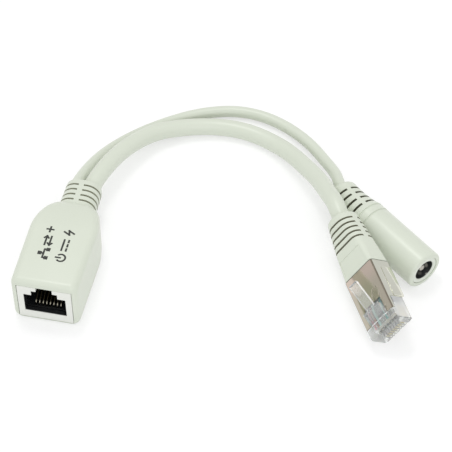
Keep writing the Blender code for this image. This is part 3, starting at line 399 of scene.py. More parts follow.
# %% Clear plastic for the plug
CLEAR_TINT = (0.970, 0.985, 0.975, 1)
CLEAR_THROUGH = 0.84
CLEAR_BENDING = 1.22
CLEAR_SCALE = 420.0
CLEAR_DEPTH = 0.00001
EDGE_TINT = (0.98, 0.99, 0.98, 1)
EDGE_BENDING = 1.42
EDGE_SCALE = 900.0
END_DEPTH = 0.00003


def clear_plastic():
    graph = Graph("clear_plastic")
    cloud = graph.noise(CLEAR_SCALE, 3.0)
    graph.set(Base_Color=CLEAR_TINT, Transmission_Weight=CLEAR_THROUGH, IOR=CLEAR_BENDING)
    graph.set(Roughness=0.03 + cloud * 0.07)
    graph.relief(cloud, CLEAR_DEPTH)
    return graph.material


# %% Its edges, narrow sides and end
def clear_edge(name, through, bending=EDGE_BENDING, depth=CLEAR_DEPTH):
    graph = Graph(name)
    cloud = graph.noise(EDGE_SCALE, 3.0)
    graph.set(Base_Color=EDGE_TINT, Transmission_Weight=through, IOR=bending)
    graph.set(Roughness=0.10 + cloud * 0.10)
    graph.relief(cloud, depth)
    return graph.material


CLEAR_PLASTIC = clear_plastic()
CLEAR_EDGE = clear_edge("clear_edge", 0.35)
CLEAR_SIDE = clear_edge("clear_side", 0.50)
CLEAR_END = clear_edge("clear_end", 0.74, CLEAR_BENDING, END_DEPTH)
print("made", CLEAR_PLASTIC.name, CLEAR_EDGE.name, CLEAR_SIDE.name, "and", CLEAR_END.name)

# %% [markdown]
# ## Metals
# The shield is folded from thin plated sheet. Rolling leaves faint lines along the plug, and the
# plating is a warm grey. The contact springs are gold, and where they run back into the port
# they are in the dark, so only their front bends shine.


# %% Plated metal
SCRATCH_SCALE = 900.0
METAL_CLOUD_SCALE = 260.0
METAL_DEPTH = 0.000003


def plated(name, light, dark, roughness):
    graph = Graph(name)
    scratches = graph.noise(SCRATCH_SCALE, 3.0)
    cloud = graph.noise(METAL_CLOUD_SCALE, 3.0)
    graph.set(Base_Color=graph.blend(cloud, dark, light), Metallic=1.0)
    graph.set(Roughness=roughness + scratches * 0.10 + cloud * 0.06)
    graph.relief(scratches, METAL_DEPTH)
    return graph.material


# The pin's nickel is a little darker, and the spring's much darker, than clean nickel: painted
# shade of the dark hole they sit in.
SHADED_NICKEL = plated("shaded_nickel", (0.30, 0.29, 0.27), (0.22, 0.21, 0.19), 0.28)
PIN_NICKEL = plated("pin_nickel", (0.52, 0.50, 0.45), (0.44, 0.42, 0.37), 0.24)
GOLD = plated("gold_plate", (0.84, 0.75, 0.52), (0.76, 0.67, 0.45), 0.16)

# %% [markdown]
# In the picture the shield's sides reflect the white table, and the face with the latch reflects
# a brown and pink part of the room, with a dark line at its fold. Masks in the plug's own frame
# part them, and stretched noise draws the rolling lines.

# %% Plate of the shield, browner on the face that the latch is on
PLATE_DULL = (0.670, 0.672, 0.590)
PLATE_BRIGHT = (0.750, 0.752, 0.665)
PLATE_BROWN = (0.490, 0.450, 0.370)
PLATE_PINK = (0.600, 0.505, 0.435)
FOLD_DARK = (0.150, 0.130, 0.100)
ALONG_PLUG = (1, 0.05, 1)
PLATE_FACE_LOW = 0.00350
PLATE_FACE_HIGH = 0.00366
PLATE_PINK_START = -0.0075
PLATE_PINK_END = -0.0015
FOLD_START = 0.0053
FOLD_LOW = 0.00330
FOLD_HIGH = 0.00366


def shield_plate():
    graph = Graph("shield_plate")
    lines = graph.noise(SCRATCH_SCALE, 3.0, graph.place(ALONG_PLUG, plug_frame))
    cloud = graph.noise(METAL_CLOUD_SCALE, 3.0)
    x, y, z = graph.axes(plug_frame)
    bright = graph.blend(cloud, PLATE_DULL, PLATE_BRIGHT)
    pink = graph.rise(y, PLATE_PINK_START, PLATE_PINK_END)
    brown = graph.blend(pink, PLATE_BROWN, PLATE_PINK)
    latch_face = graph.rise(z, PLATE_FACE_LOW, PLATE_FACE_HIGH)
    fold = graph.rise(abs(x), FOLD_START, FOLD_START + SOFT_STEP)
    fold = fold * graph.rise(z, FOLD_LOW - SOFT_STEP, FOLD_LOW)
    fold = fold * graph.rise(FOLD_HIGH - z, 0.0, SOFT_STEP)
    plate = graph.blend(latch_face, bright, brown)
    graph.set(Base_Color=graph.blend(fold, plate, FOLD_DARK), Metallic=1.0)
    graph.set(Roughness=0.05 + lines * 0.07 + cloud * 0.03 + fold * 0.35)
    graph.relief(lines, METAL_DEPTH)
    return graph.material


SHIELD_PLATE = shield_plate()

# %% Springs of the port, bright only at their front bends
SPRING_LIT_END = FRONT_Y + 0.0025
SPRING_DARK_START = FRONT_Y + 0.0034
SPRING_DULL = (0.60, 0.56, 0.44)
SPRING_BRIGHT = (0.72, 0.68, 0.54)
SPRING_DARK = (0.035, 0.028, 0.016)


def spring_gold():
    graph = Graph("spring_gold")
    x, y, z = graph.axes()
    cloud = graph.noise(METAL_CLOUD_SCALE, 3.0)
    lit = graph.blend(cloud, SPRING_DULL, SPRING_BRIGHT)
    deep = graph.rise(y, SPRING_LIT_END, SPRING_DARK_START)
    graph.set(Base_Color=graph.blend(deep, lit, SPRING_DARK), Metallic=1.0)
    graph.set(Roughness=0.18 + cloud * 0.08 + deep * 0.30)
    graph.relief(graph.noise(SCRATCH_SCALE, 3.0), METAL_DEPTH)
    return graph.material


SPRING_GOLD = spring_gold()
print("made", SHADED_NICKEL.name, PIN_NICKEL.name, SHIELD_PLATE.name, GOLD.name, SPRING_GOLD.name)

# %% [markdown]
# ## The two cables
# A cable is a round bevel on a curve. The curve has Bezier points, and each point's handles lie
# along the line to its neighbours, so the bend is soft and even. Both cables leave their ends
# straight. The route points are those of the solids, and each end starts a hair inside its
# moulding, because the real PVC is moulded on the cable and leaves no gap.

# %% Where the cables leave the socket end
EXIT_Y = 0.0216
EXIT_Z = 0.0080
DATA_EXIT_X = 0.00195
POWER_EXIT_X = -0.00275
INTO_MOULDING = 0.0004
STRAIGHT_START = 0.0015
CABLE_ENDS = (STRAIGHT_START, -INTO_MOULDING)
DATA_CABLE_DIAMETER = 0.0052
POWER_CABLE_DIAMETER = 0.0035

# %% The cables' ways over the table
DATA_WAY = (
    (0.0021, 0.0246, 0.0081), (0.0029, 0.0282, 0.0081), (0.0042, 0.0330, 0.0078),
    (0.0061, 0.0388, 0.0069), (0.0091, 0.0450, 0.0058), (0.0118, 0.0493, 0.0048),
    (0.0145, 0.0522, 0.0042), (0.0204, 0.0560, 0.0033), (0.0263, 0.0584, 0.0028),
    (0.0327, 0.0596, 0.00265), (0.0393, 0.0595, 0.0026), (0.0463, 0.0577, 0.0026),
    (0.0500, 0.0559, 0.0028), (0.0537, 0.0534, 0.0034), (0.0575, 0.0499, 0.0043),
    (0.0615, 0.0454, 0.0056), (0.0658, 0.0398, 0.0075), (0.0699, 0.0325, 0.0101),
    (0.0727, 0.0275, 0.0116),
)
POWER_WAY = (
    (-0.0028, 0.0252, 0.0073), (-0.0024, 0.0296, 0.0059), (-0.0012, 0.0361, 0.0041),
    (0.0004, 0.0411, 0.0028), (0.0023, 0.0451, 0.0020), (0.0069, 0.0510, 0.00175),
    (0.0119, 0.0558, 0.00175), (0.0171, 0.0599, 0.00175), (0.0226, 0.0635, 0.00175),
    (0.0281, 0.0661, 0.00175), (0.0339, 0.0678, 0.00175), (0.0397, 0.0682, 0.00175),
    (0.0459, 0.0671, 0.0018), (0.0524, 0.0643, 0.0019), (0.0592, 0.0594, 0.0023),
    (0.0663, 0.0514, 0.0032), (0.0701, 0.0459, 0.0043),
)
print(len(DATA_WAY), "and", len(POWER_WAY), "route points")


# %% Handles that make the curve smooth through every point
def handle_steps(points):
    """The step from each point to its handles, before and after it."""
    steps = [(Vector(), (points[1] - points[0]) / 3)]
    for before, here, after in zip(points, points[1:], points[2:]):
        near, far = here - before, after - here
        near_share, far_share = near.length, far.length
        heading = near / near_share * far_share + far / far_share * near_share
        heading = heading / (near_share + far_share)
        steps.append((-heading * near_share / 3, heading * far_share / 3))
    steps.append(((points[-2] - points[-1]) / 3, Vector()))
    return steps


def round_line(node, points, diameter, finish):
    """A cable of one round section along its points, in place of its solid."""
    points = [Vector(point) for point in points]
    curve = bpy.data.curves.new(node + "_fine", "CURVE")
    curve.dimensions = "3D"
    curve.bevel_depth = diameter / 2
    curve.bevel_resolution = 10
    curve.resolution_u = 10
    curve.use_fill_caps = True
    spline = curve.splines.new("BEZIER")
    spline.bezier_points.add(len(points) - 1)
    for spot, point, (back, ahead) in zip(spline.bezier_points, points, handle_steps(points)):
        spot.co = point
        spot.handle_left = point + back
        spot.handle_right = point + ahead
    curve.materials.append(finish)
    line = bpy.data.objects.new(curve.name, curve)
    bpy.context.scene.collection.objects.link(line)
    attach(line, "root")
    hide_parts(node)
    return line


print("cables can be drawn")

# %% Draw both cables and measure them
data_exit = Vector((DATA_EXIT_X, EXIT_Y - INTO_MOULDING, EXIT_Z))
power_exit = Vector((POWER_EXIT_X, EXIT_Y - INTO_MOULDING, EXIT_Z))
data_points = [data_exit, Vector((DATA_EXIT_X, EXIT_Y + STRAIGHT_START, EXIT_Z)), *DATA_WAY]
data_points += [plug_frame @ Vector((0, BOOT_LENGTH + away, 0)) for away in CABLE_ENDS]
power_points = [power_exit, Vector((POWER_EXIT_X, EXIT_Y + STRAIGHT_START, EXIT_Z)), *POWER_WAY]
power_points += [dc_frame @ bent((0, DC_LENGTH + away, 0)) for away in CABLE_ENDS]
data_cable = round_line("data_cable", data_points, DATA_CABLE_DIAMETER, SOFT_PVC)
power_cable = round_line("power_cable", power_points, POWER_CABLE_DIAMETER, SOFT_PVC)


def way_length(points):
    return sum((Vector(far) - Vector(near)).length for near, far in zip(points, points[1:]))


data_length = way_length(data_points)
power_length = way_length(power_points)
print("data cable", round(data_length, 4), "m, power cable", round(power_length, 4), "m")

# %% [markdown]
# ## Tools for the mouldings
# A moulding runs along Y, and its section is a rectangle with round corners that grows and
# shrinks on the way. A ring is a grid of one face with its corners rounded by a vertex bevel,
# stood up across Y. Bridging ring to ring gives the skin, and the first and last faces close it.

# %% Rings and lofts
STAND_UP = Matrix.Rotation(math.pi / 2, 4, "X")


def ring(bm, y, left, right, bottom, top, radius, steps, cap):
    """One section across Y; its face is kept only at the ends of a loft."""
    earlier = set(bm.edges)
    corners = bmesh.ops.create_grid(bm, x_segments=1, y_segments=1, size=0.5)["verts"]
    bmesh.ops.scale(bm, verts=corners, vec=(right - left, top - bottom, 1))
    rounding = {"offset": radius, "offset_type": "OFFSET", "segments": steps, "profile": 0.5}
    bmesh.ops.bevel(bm, geom=corners, affect="VERTICES", material=-1, **rounding)
    edges = [edge for edge in bm.edges if edge not in earlier]
    verts = list({vert for edge in edges for vert in edge.verts})
    place = Matrix.Translation(((left + right) / 2, y, (bottom + top) / 2)) @ STAND_UP
    bmesh.ops.transform(bm, matrix=place, verts=verts)
    if not cap:
        bmesh.ops.delete(bm, geom=list(edges[0].link_faces), context="FACES_ONLY")
    return edges


def lofted(sections, steps):
    """A closed skin through sections of (y, left, right, bottom, top, radius)."""
    bm = bmesh.new()
    last = len(sections) - 1
    rings = []
    for number, section in enumerate(sections):
        rings.append(ring(bm, *section, steps, number in (0, last)))
    for near, far in zip(rings, rings[1:]):
        bmesh.ops.bridge_loops(bm, edges=near + far)
    bmesh.ops.recalc_face_normals(bm, faces=bm.faces)
    return bm


# %% Objects from a bmesh, and cuts
def loose_object(name, bm, place=None, finish=None):
    """A mesh object that rides on nothing yet, with its place in its mesh."""
    if place:
        bmesh.ops.transform(bm, matrix=place, verts=bm.verts)
    mesh = bpy.data.meshes.new(name)
    bm.to_mesh(mesh)
    bm.free()
    if finish:
        mesh.materials.append(finish)
    made = bpy.data.objects.new(name, mesh)
    bpy.context.scene.collection.objects.link(made)
    return made


def carve(piece, cutter, operation="DIFFERENCE"):
    """Cuts one object with another, or joins them, and clears the second away."""
    change = piece.modifiers.new("carve", "BOOLEAN")
    change.operation = operation
    change.use_self = operation == "UNION"
    change.solver = "EXACT"
    change.material_mode = "TRANSFER"
    change.object = cutter
    bpy.context.view_layer.update()
    view = bpy.context.evaluated_depsgraph_get()
    mesh = bpy.data.meshes.new_from_object(piece.evaluated_get(view))
    piece.modifiers.clear()
    piece.data = mesh
    bpy.data.objects.remove(cutter)


def bars(corners):
    """Plain blocks between pairs of corners, for cutters."""
    bm = bmesh.new()
    for low, high in corners:
        low, high = Vector(low), Vector(high)
        place = Matrix.Translation((low + high) / 2) @ Matrix.Diagonal((*(high - low), 1.0))
        bmesh.ops.create_cube(bm, size=1.0, matrix=place)
    return bm


def rod(x, z, radius, near, far):
    """A round bar along Y, for bores."""
    bm = bmesh.new()
    place = Matrix.Translation((x, (near + far) / 2, z)) @ STAND_UP
    sizes = {"radius1": radius, "radius2": radius, "depth": far - near}
    bmesh.ops.create_cone(bm, cap_ends=True, segments=32, matrix=place, **sizes)
    return bm


def finished(piece, finish, nodes, edge=0.0001, angle=35):
    """Smooth shading, rounded edges, a finish, and a place on the object."""
    mesh = piece.data
    if not mesh.materials:
        mesh.materials.append(finish)
    mesh.shade_smooth()
    mesh.set_sharp_from_angle(angle=math.radians(angle))
    if edge:
        rounding = piece.modifiers.new("edges", "BEVEL")
        rounding.limit_method = "ANGLE"
        rounding.angle_limit = math.radians(angle)
        rounding.width = edge
        rounding.segments = 2
        rounding.harden_normals = True
    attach(piece, "root")
    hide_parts(*nodes)
    return piece


print("lofts and cuts are ready")

# %% [markdown]
# ## The socket end
# The housing is one soft moulding: a box that swells a little towards its shoulder, then closes
# in a full curve on the neck, which has rows of slots so that it can flex. Its front edge is
# rounded. The loft's rings follow a quarter circle in front and a super-ellipse at the shoulder,
# and the slots are cut between a core and the skin.

# %% Sizes of the housing
HOUSE_WIDTH = 0.0194
HOUSE_HEIGHT = 0.0160
HOUSE_STRAIGHT = 0.0210
HOUSE_EDGE = 0.0021
HOUSE_DRAFT = 0.0003
SHOULDER_LENGTH = 0.0125
SHOULDER_FULLNESS = 1.7
FRONT_ROUND = (0.0018, 0.0010, 0.0015, 0.0008)
NECK_Y = FRONT_Y + HOUSE_STRAIGHT + SHOULDER_LENGTH
NECK_WIDTH = 0.0107
NECK_HEIGHT = 0.0088
NECK_TAPER = 0.0001
NECK_CORNER = 0.0038
NECK_END_ROUND = 0.0005
SLOT_WIDTH = 0.0006
SLOT_DEPTH = 0.0009
CORNER_STEPS = 10
FRONT_STEPS = 8
SHOULDER_STEPS = 22
END_STEPS = 5
SOFT_EDGE = 0.00012


# %% Rings of the box and its shoulder
def house_ring(y, side, top, bottom, corner):
    along = min((y - FRONT_Y) / HOUSE_STRAIGHT, 1.0)
    half = HOUSE_WIDTH / 2 - side - HOUSE_DRAFT * (1 - along)
    return y, -half, half, bottom, HOUSE_HEIGHT - top, corner


def neck_ring(y, inset=0.0):
    taper = NECK_TAPER * (y - NECK_Y) / (EXIT_Y - NECK_Y) + inset
    half, up = NECK_WIDTH / 2 - taper, NECK_HEIGHT / 2 - taper
    return y, -half, half, EXIT_Z - up, EXIT_Z + up, NECK_CORNER - inset


def quarter(steps):
    return [math.radians(90 * step / steps) for step in range(steps + 1)]


house_rings = []
for angle in quarter(FRONT_STEPS):
    left = 1 - math.sin(angle)
    reach, side, top, bottom = FRONT_ROUND
    y = FRONT_Y + reach * (1 - math.cos(angle))
    house_rings.append(house_ring(y, side * left, top * left, bottom * left, HOUSE_EDGE))
for angle in quarter(SHOULDER_STEPS)[:-1]:
    along = math.sin(angle)
    drop = 1 - (1 - along**SHOULDER_FULLNESS) ** (1 / SHOULDER_FULLNESS)
    side = (HOUSE_WIDTH - NECK_WIDTH) / 2 * drop
    level = (HOUSE_HEIGHT - NECK_HEIGHT) / 2 * drop
    corner = HOUSE_EDGE + (NECK_CORNER - HOUSE_EDGE) * drop
    y = FRONT_Y + HOUSE_STRAIGHT + SHOULDER_LENGTH * along
    house_rings.append(house_ring(y, side, level, level, corner))
house_rings.append(neck_ring(NECK_Y))
for angle in quarter(END_STEPS):
    y = EXIT_Y - NECK_END_ROUND * (1 - math.sin(angle))
    house_rings.append(neck_ring(y, NECK_END_ROUND * (1 - math.cos(angle))))
housing = loose_object("socket_housing_fine", lofted(house_rings, CORNER_STEPS), finish=SOFT_PVC)
print("housing skin of", len(house_rings), "rings,", len(housing.data.polygons), "faces")

# %% [markdown]
# The slots of a strain relief are thin blocks on both sides of a spine. A core is taken out of
# them first, so each slot stops at the same depth all round.


# %% Slot combs
CORE_STEPS = 6
BEYOND = 0.001


def slot_bars(stations, spine_low, spine_high, reach, upright=False, centre=0.0, width=SLOT_WIDTH):
    corners = []
    for y in stations:
        near, far = y - width / 2, y + width / 2
        for low, high in ((-reach, spine_low), (spine_high, reach)):
            if upright:
                corners.append(((-reach, near, low), (reach, far, high)))
            else:
                corners.append(((low, near, centre - reach), (high, far, centre + reach)))
    return bars(corners)


NECK_SLOT_START = 0.00215
NECK_SLOT_STEP = 0.00195
NECK_SPINE = (-0.00095, 0.00055)
neck_slots = [EXIT_Y - NECK_SLOT_START - NECK_SLOT_STEP * number for number in range(4)]
house_bars = slot_bars(neck_slots, *NECK_SPINE, NECK_WIDTH, centre=EXIT_Z)
comb = loose_object("slots", house_bars, finish=NECK_SLOT_PVC)
core_rings = [neck_ring(y, SLOT_DEPTH) for y in (NECK_Y - BEYOND, EXIT_Y + BEYOND)]
carve(comb, loose_object("core", lofted(core_rings, CORE_STEPS)))
carve(housing, comb)
print("neck slotted")

# %% [markdown]
# The front is open: a pocket holds the frame and the black insert, a small room behind it holds
# the board, and two bores carry the wires to the neck.

# %% Pocket, room and bores
POCKET_HALF = 0.00785
POCKET_LOW, POCKET_HIGH = 0.00085, 0.01395
POCKET_END = -0.0068
ROOM_HALF = 0.0067
ROOM_LOW, ROOM_HIGH = 0.0025, 0.0125
ROOM_END = -0.0018
DATA_BORE, POWER_BORE = 0.0020, 0.0013

pocket = ((-POCKET_HALF, FRONT_Y - BEYOND, POCKET_LOW), (POCKET_HALF, POCKET_END, POCKET_HIGH))
room = ((-ROOM_HALF, POCKET_END - BEYOND, ROOM_LOW), (ROOM_HALF, ROOM_END, ROOM_HIGH))
carve(housing, loose_object("pocket", bars([pocket])))
carve(housing, loose_object("room", bars([room])))
for x, bore in ((DATA_EXIT_X, DATA_BORE), (POWER_EXIT_X, POWER_BORE)):
    bore_bar = rod(x, EXIT_Z, bore, ROOM_END - BEYOND, EXIT_Y + BEYOND)
    carve(housing, loose_object("bore", bore_bar))
finished(housing, SOFT_PVC, ["socket_housing"], SOFT_EDGE)
print("housing has", len(housing.data.polygons), "faces")

# %% [markdown]
# ## Marks on the top
# The top of the housing is printed in black ink. The real words aren't copied: plain signs stand
# in their place, for a network, data both ways, plus, power, direct current and a flash. Ink is
# a film far thinner than the PVC, so the signs are thin bars and a spun arc that lie on the skin.

# %% The signs, in millimetres on the top
STROKE = 0.54
MM = 0.001
INK_LOW, INK_HIGH = HOUSE_HEIGHT - 0.00001, HOUSE_HEIGHT + 0.00001
NETWORK = [((-3.5, -10.7), (-2.8, -10.7)), ((-2.8, -12.2), (-2.8, -9.2))]
NETWORK += [((-2.8, -12.2), (-2.2, -12.2)), ((-2.8, -9.2), (-2.2, -9.2))]
for x, y in ((-3.9, -10.7), (-1.8, -12.2), (-1.8, -9.2)):
    NETWORK += [((x - 0.3, y + side), (x + 0.3, y + side)) for side in (-0.35, 0.0, 0.35)]
BOTH_WAYS = [((-3.4, -7.6), (-3.4, -4.4)), ((-2.1, -7.6), (-2.1, -4.4))]
BOTH_WAYS += [((-3.4, -4.4), (-4.0, -5.1)), ((-3.4, -4.4), (-2.8, -5.1))]
BOTH_WAYS += [((-2.1, -7.6), (-2.7, -6.9)), ((-2.1, -7.6), (-1.5, -6.9))]
PLUS = [((-4.1, -1.9), (-2.3, -1.9)), ((-3.2, -2.8), (-3.2, -1.0))]
POWER_MIDDLE = (2.3, -11.4)
POWER_RADIUS = 1.24
POWER_ARC = math.radians(280)
ARC_STEPS = 40
POWER_BAR = [((0.9, -11.4), (2.1, -11.4))]
DIRECT = [((1.7, -8.7), (1.7, -4.9)), ((3.0, -8.7), (3.0, -8.0))]
DIRECT += [((3.0, -7.15), (3.0, -6.45)), ((3.0, -5.6), (3.0, -4.9))]
FLASH = [((0.9, -2.0), (2.5, -2.9)), ((2.5, -2.9), (2.1, -1.4)), ((2.1, -1.4), (3.7, -2.3))]


# %% Print them
def stroke(start, end):
    """The place of a bar of ink between two points of the top."""
    start, end = Vector((*start, 0)) * MM, Vector((*end, 0)) * MM
    way, width = end - start, STROKE * MM
    place = Matrix.Translation((*((start + end) / 2).xy, (INK_LOW + INK_HIGH) / 2))
    place = place @ Matrix.Rotation(math.atan2(way.y, way.x), 4, "Z")
    return place @ Matrix.Diagonal((way.length + width, width, INK_HIGH - INK_LOW, 1))


bm = bmesh.new()
section = bmesh.ops.create_grid(bm, x_segments=1, y_segments=1, size=0.5)["verts"]
size = Matrix.Diagonal((STROKE * MM, INK_HIGH - INK_LOW, 1, 1))
turn = Matrix.Rotation(-POWER_ARC / 2, 4, "Z") @ Matrix.Translation((POWER_RADIUS * MM, 0, 0))
bmesh.ops.transform(bm, matrix=turn @ STAND_UP @ size, verts=section)
bmesh.ops.delete(bm, geom=list(bm.faces), context="FACES_ONLY")
rim = list(bm.verts) + list(bm.edges)
bmesh.ops.spin(bm, geom=rim, cent=(0, 0, 0), axis=(0, 0, 1), angle=POWER_ARC, steps=ARC_STEPS)
bmesh.ops.holes_fill(bm, edges=bm.edges, sides=4)
middle = Vector((*POWER_MIDDLE, 0)) * MM + Vector((0, 0, (INK_LOW + INK_HIGH) / 2))
bmesh.ops.translate(bm, verts=bm.verts, vec=middle)
bmesh.ops.recalc_face_normals(bm, faces=bm.faces)
INK = plastic("ink", (0.030, 0.034, 0.026), (0.018, 0.020, 0.016), 0.38, 0.000002)
marks = loose_object("top_marks", bm, finish=INK)
bm = bmesh.new()
for start, end in NETWORK + BOTH_WAYS + PLUS + POWER_BAR + DIRECT + FLASH:
    bmesh.ops.create_cube(bm, size=1.0, matrix=stroke(start, end))
carve(marks, loose_object("strokes", bm, finish=INK), "UNION")
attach(marks, "root")
print("printed", len(marks.data.polygons), "faces of ink")

# %% [markdown]
# ## The boot of the plug
# The boot starts as the plug's flat rectangle and ends round on the cable. Its five slots lie
# on two sides of a narrow spine. It is lofted in the plug's own frame and then carried over.

# %% Sizes of the boot
BOOT_WIDTH = 0.0118
BOOT_MIDDLE = 0.0085
BOOT_EDGE_SHAPE = (BOOT_WIDTH, 0.0073, 0.0037, 0.0010)
BOOT_MIDDLE_SHAPE = (0.0110, 0.0078, 0.0041, 0.0025)
BOOT_END_SHAPE = (0.0090, 0.0090, 0.0045, 0.0044)
BOOT_SLOT_DEPTH = 0.0008
BOOT_SLOT_START = 0.0025
BOOT_SLOT_STEP = 0.00182
BOOT_SPINE = (-0.0006, 0.0012)
BOOT_BORE = 0.0020
SHARPEST = 0.0002


# %% Rings of the boot
def boot_ring(y, inset=0.0):
    if y <= BOOT_MIDDLE:
        share, near, far = y / BOOT_MIDDLE, BOOT_EDGE_SHAPE, BOOT_MIDDLE_SHAPE
    else:
        share = (y - BOOT_MIDDLE) / (BOOT_LENGTH - BOOT_MIDDLE)
        near, far = BOOT_MIDDLE_SHAPE, BOOT_END_SHAPE
    width, height, top, corner = (a + (b - a) * share for a, b in zip(near, far))
    half = width / 2 - inset
    return y, -half, half, top - height + inset, top - inset, max(corner - inset, SHARPEST)


boot_places = [BOOT_MIDDLE * step / 6 for step in range(7)]
BOOT_REST = BOOT_LENGTH - NECK_END_ROUND - BOOT_MIDDLE
boot_places += [BOOT_MIDDLE + BOOT_REST * step / 8 for step in range(1, 8)]
boot_rings = [boot_ring(y) for y in boot_places]
for angle in quarter(END_STEPS):
    y = BOOT_LENGTH - NECK_END_ROUND * (1 - math.sin(angle))
    boot_rings.append(boot_ring(y, NECK_END_ROUND * (1 - math.cos(angle))))
boot = loose_object("plug_boot_fine", lofted(boot_rings, CORNER_STEPS), finish=SOFT_PVC)
boot_slots = [BOOT_LENGTH - BOOT_SLOT_START - BOOT_SLOT_STEP * number for number in range(5)]
boot_bars = slot_bars(boot_slots, *BOOT_SPINE, BOOT_WIDTH, upright=True)
comb = loose_object("slots", boot_bars, finish=BOOT_SLOT_PVC)
core_places = (BOOT_MIDDLE - BEYOND, BOOT_MIDDLE, BOOT_MIDDLE + 0.004, BOOT_LENGTH)
core_rings = [boot_ring(y, BOOT_SLOT_DEPTH) for y in core_places]
carve(comb, loose_object("core", lofted(core_rings, CORE_STEPS)))
carve(boot, comb)
carve(boot, loose_object("bore", rod(0, 0, BOOT_BORE, -BEYOND, BOOT_LENGTH + BEYOND)))

# %% [markdown]
# The boot's flat side has a very shallow recess where the mould held a plate. It is a block cut
# down to a thin layer under the skin, so its floor follows the skin, and then it is taken out.

# %% The shallow recess on the boot's flat side
RECESS_DEPTH = 0.00012
RECESS_BLOCK = ((-0.0044, 0.0010, 0.0), (0.0044, 0.0060, 0.006))

recess = loose_object("recess", bars([RECESS_BLOCK]))
core_rings = [boot_ring(y, RECESS_DEPTH) for y in (0.0, BOOT_MIDDLE)]
carve(recess, loose_object("core", lofted(core_rings, CORE_STEPS)))
carve(boot, recess)
boot.data.transform(plug_frame)
finished(boot, SOFT_PVC, ["plug_boot"], SOFT_EDGE)
on_data_cable = [boot]
print("boot has", len(boot.data.polygons), "faces")

# %% [markdown]
# ## The power socket
# This moulding is round, so a profile is spun about Y: a soft lip at its face, a long body, two
# fine grooves, and the tapered relief. The profile comes back inside, as the seat for the ring
# and a bore for the wires. Slots are cut while it is straight, and then the relief is bent.

# %% Profile of the power socket's skin
DC_RADIUS = DC_DIAMETER / 2
DC_LIP = 0.0007
DC_GROOVES = (0.0216, 0.0241)
DC_GROOVE_HALF = 0.00028
DC_GROOVE_DEPTH = 0.0003
DC_BASE_RADIUS = 0.0056
DC_END_RADIUS = 0.0040
DC_EDGE = 0.0001
DC_BASE_START = 0.0006
DC_RELIEF_START, DC_RELIEF_SPAN = 0.05, 0.91
DC_SEAT_RADIUS = 0.00445
DC_SEAT_END = 0.0121
DC_ROOM_RADIUS = 0.0030
DC_ROOM_END = 0.0192
DC_BORE = 0.0013
DC_BORE_START = 0.0202
DC_SLOT_WIDTH = 0.00075
DC_SLOT_START = 0.0034
DC_SLOT_STEP = 0.0025
DC_SPINE = (-0.00065, 0.00065)

dc_outline = []
for angle in quarter(8):
    radius = DC_RADIUS - DC_LIP * (1 - math.sin(angle))
    dc_outline.append((radius, DC_LIP * (1 - math.cos(angle))))
for y in DC_GROOVES:
    for step in range(9):
        turn = math.pi * step / 8
        radius = DC_RADIUS - DC_GROOVE_DEPTH * math.sin(turn) ** 0.6
        dc_outline.append((radius, y - DC_GROOVE_HALF * math.cos(turn)))
dc_outline.append((DC_RADIUS - DC_EDGE, DC_BODY_LENGTH - DC_EDGE))
dc_outline.append((DC_BASE_RADIUS, DC_BODY_LENGTH + DC_BASE_START))
for step in range(1, 17):
    share = DC_RELIEF_START + DC_RELIEF_SPAN * step / 16
    radius = DC_BASE_RADIUS + (DC_END_RADIUS - DC_BASE_RADIUS) * share
    dc_outline.append((radius, DC_BODY_LENGTH + DC_RELIEF_LENGTH * share))
for angle in quarter(4)[1:]:
    y = DC_LENGTH - NECK_END_ROUND * (1 - math.sin(angle))
    dc_outline.append((DC_END_RADIUS - NECK_END_ROUND * (1 - math.cos(angle)), y))
dc_outline += [(DC_BORE, DC_LENGTH - DC_RELIEF_LENGTH * step / 12) for step in range(13)]
dc_outline += [(DC_BORE, DC_BORE_START), (DC_ROOM_RADIUS, DC_ROOM_END)]
dc_outline += [(DC_ROOM_RADIUS, DC_SEAT_END), (DC_SEAT_RADIUS, DC_SEAT_END)]
dc_outline.append((DC_SEAT_RADIUS, 0.0))
print(len(dc_outline), "points round the profile")


# %% Spin it
def spun(outline, steps):
    """A closed outline of (radius, y) turned about Y."""
    bm = bmesh.new()
    verts = [bm.verts.new((radius, y, 0)) for radius, y in outline]
    edges = [bm.edges.new(pair) for pair in zip(verts, verts[1:] + verts[:1])]
    turn = {"cent": (0, 0, 0), "axis": (0, 1, 0), "angle": 2 * math.pi, "steps": steps}
    bmesh.ops.spin(bm, geom=verts + edges, use_merge=True, **turn)
    bmesh.ops.remove_doubles(bm, verts=bm.verts, dist=0.000001)
    bmesh.ops.recalc_face_normals(bm, faces=bm.faces)
    return bm


dc_housing = loose_object("dc_housing_fine", spun(dc_outline, 72), finish=SOFT_PVC)
dc_slots = [DC_LENGTH - DC_SLOT_START - DC_SLOT_STEP * number for number in range(4)]
dc_bars = slot_bars(dc_slots, *DC_SPINE, DC_DIAMETER, width=DC_SLOT_WIDTH)
comb = loose_object("slots", dc_bars, finish=DC_SLOT_PVC)
core_outline = [
    (DC_BASE_RADIUS - SLOT_DEPTH, DC_BODY_LENGTH - BEYOND),
    (DC_END_RADIUS - SLOT_DEPTH, DC_LENGTH),
    (0.0, DC_LENGTH),
    (0.0, DC_BODY_LENGTH - BEYOND),
]
carve(comb, loose_object("core", spun(core_outline, 48)))
carve(dc_housing, comb)
for vert in dc_housing.data.vertices:
    vert.co = dc_frame @ bent(vert.co)
finished(dc_housing, SOFT_PVC, ["dc_housing"])
print("power socket has", len(dc_housing.data.polygons), "faces")

# %% [markdown]
# ## The ring and the pin in the power socket
# The pale ring has a small chamfer at its hole, and the hole ends in a base that the centre pin
# comes through. Both are round, so both are spun.

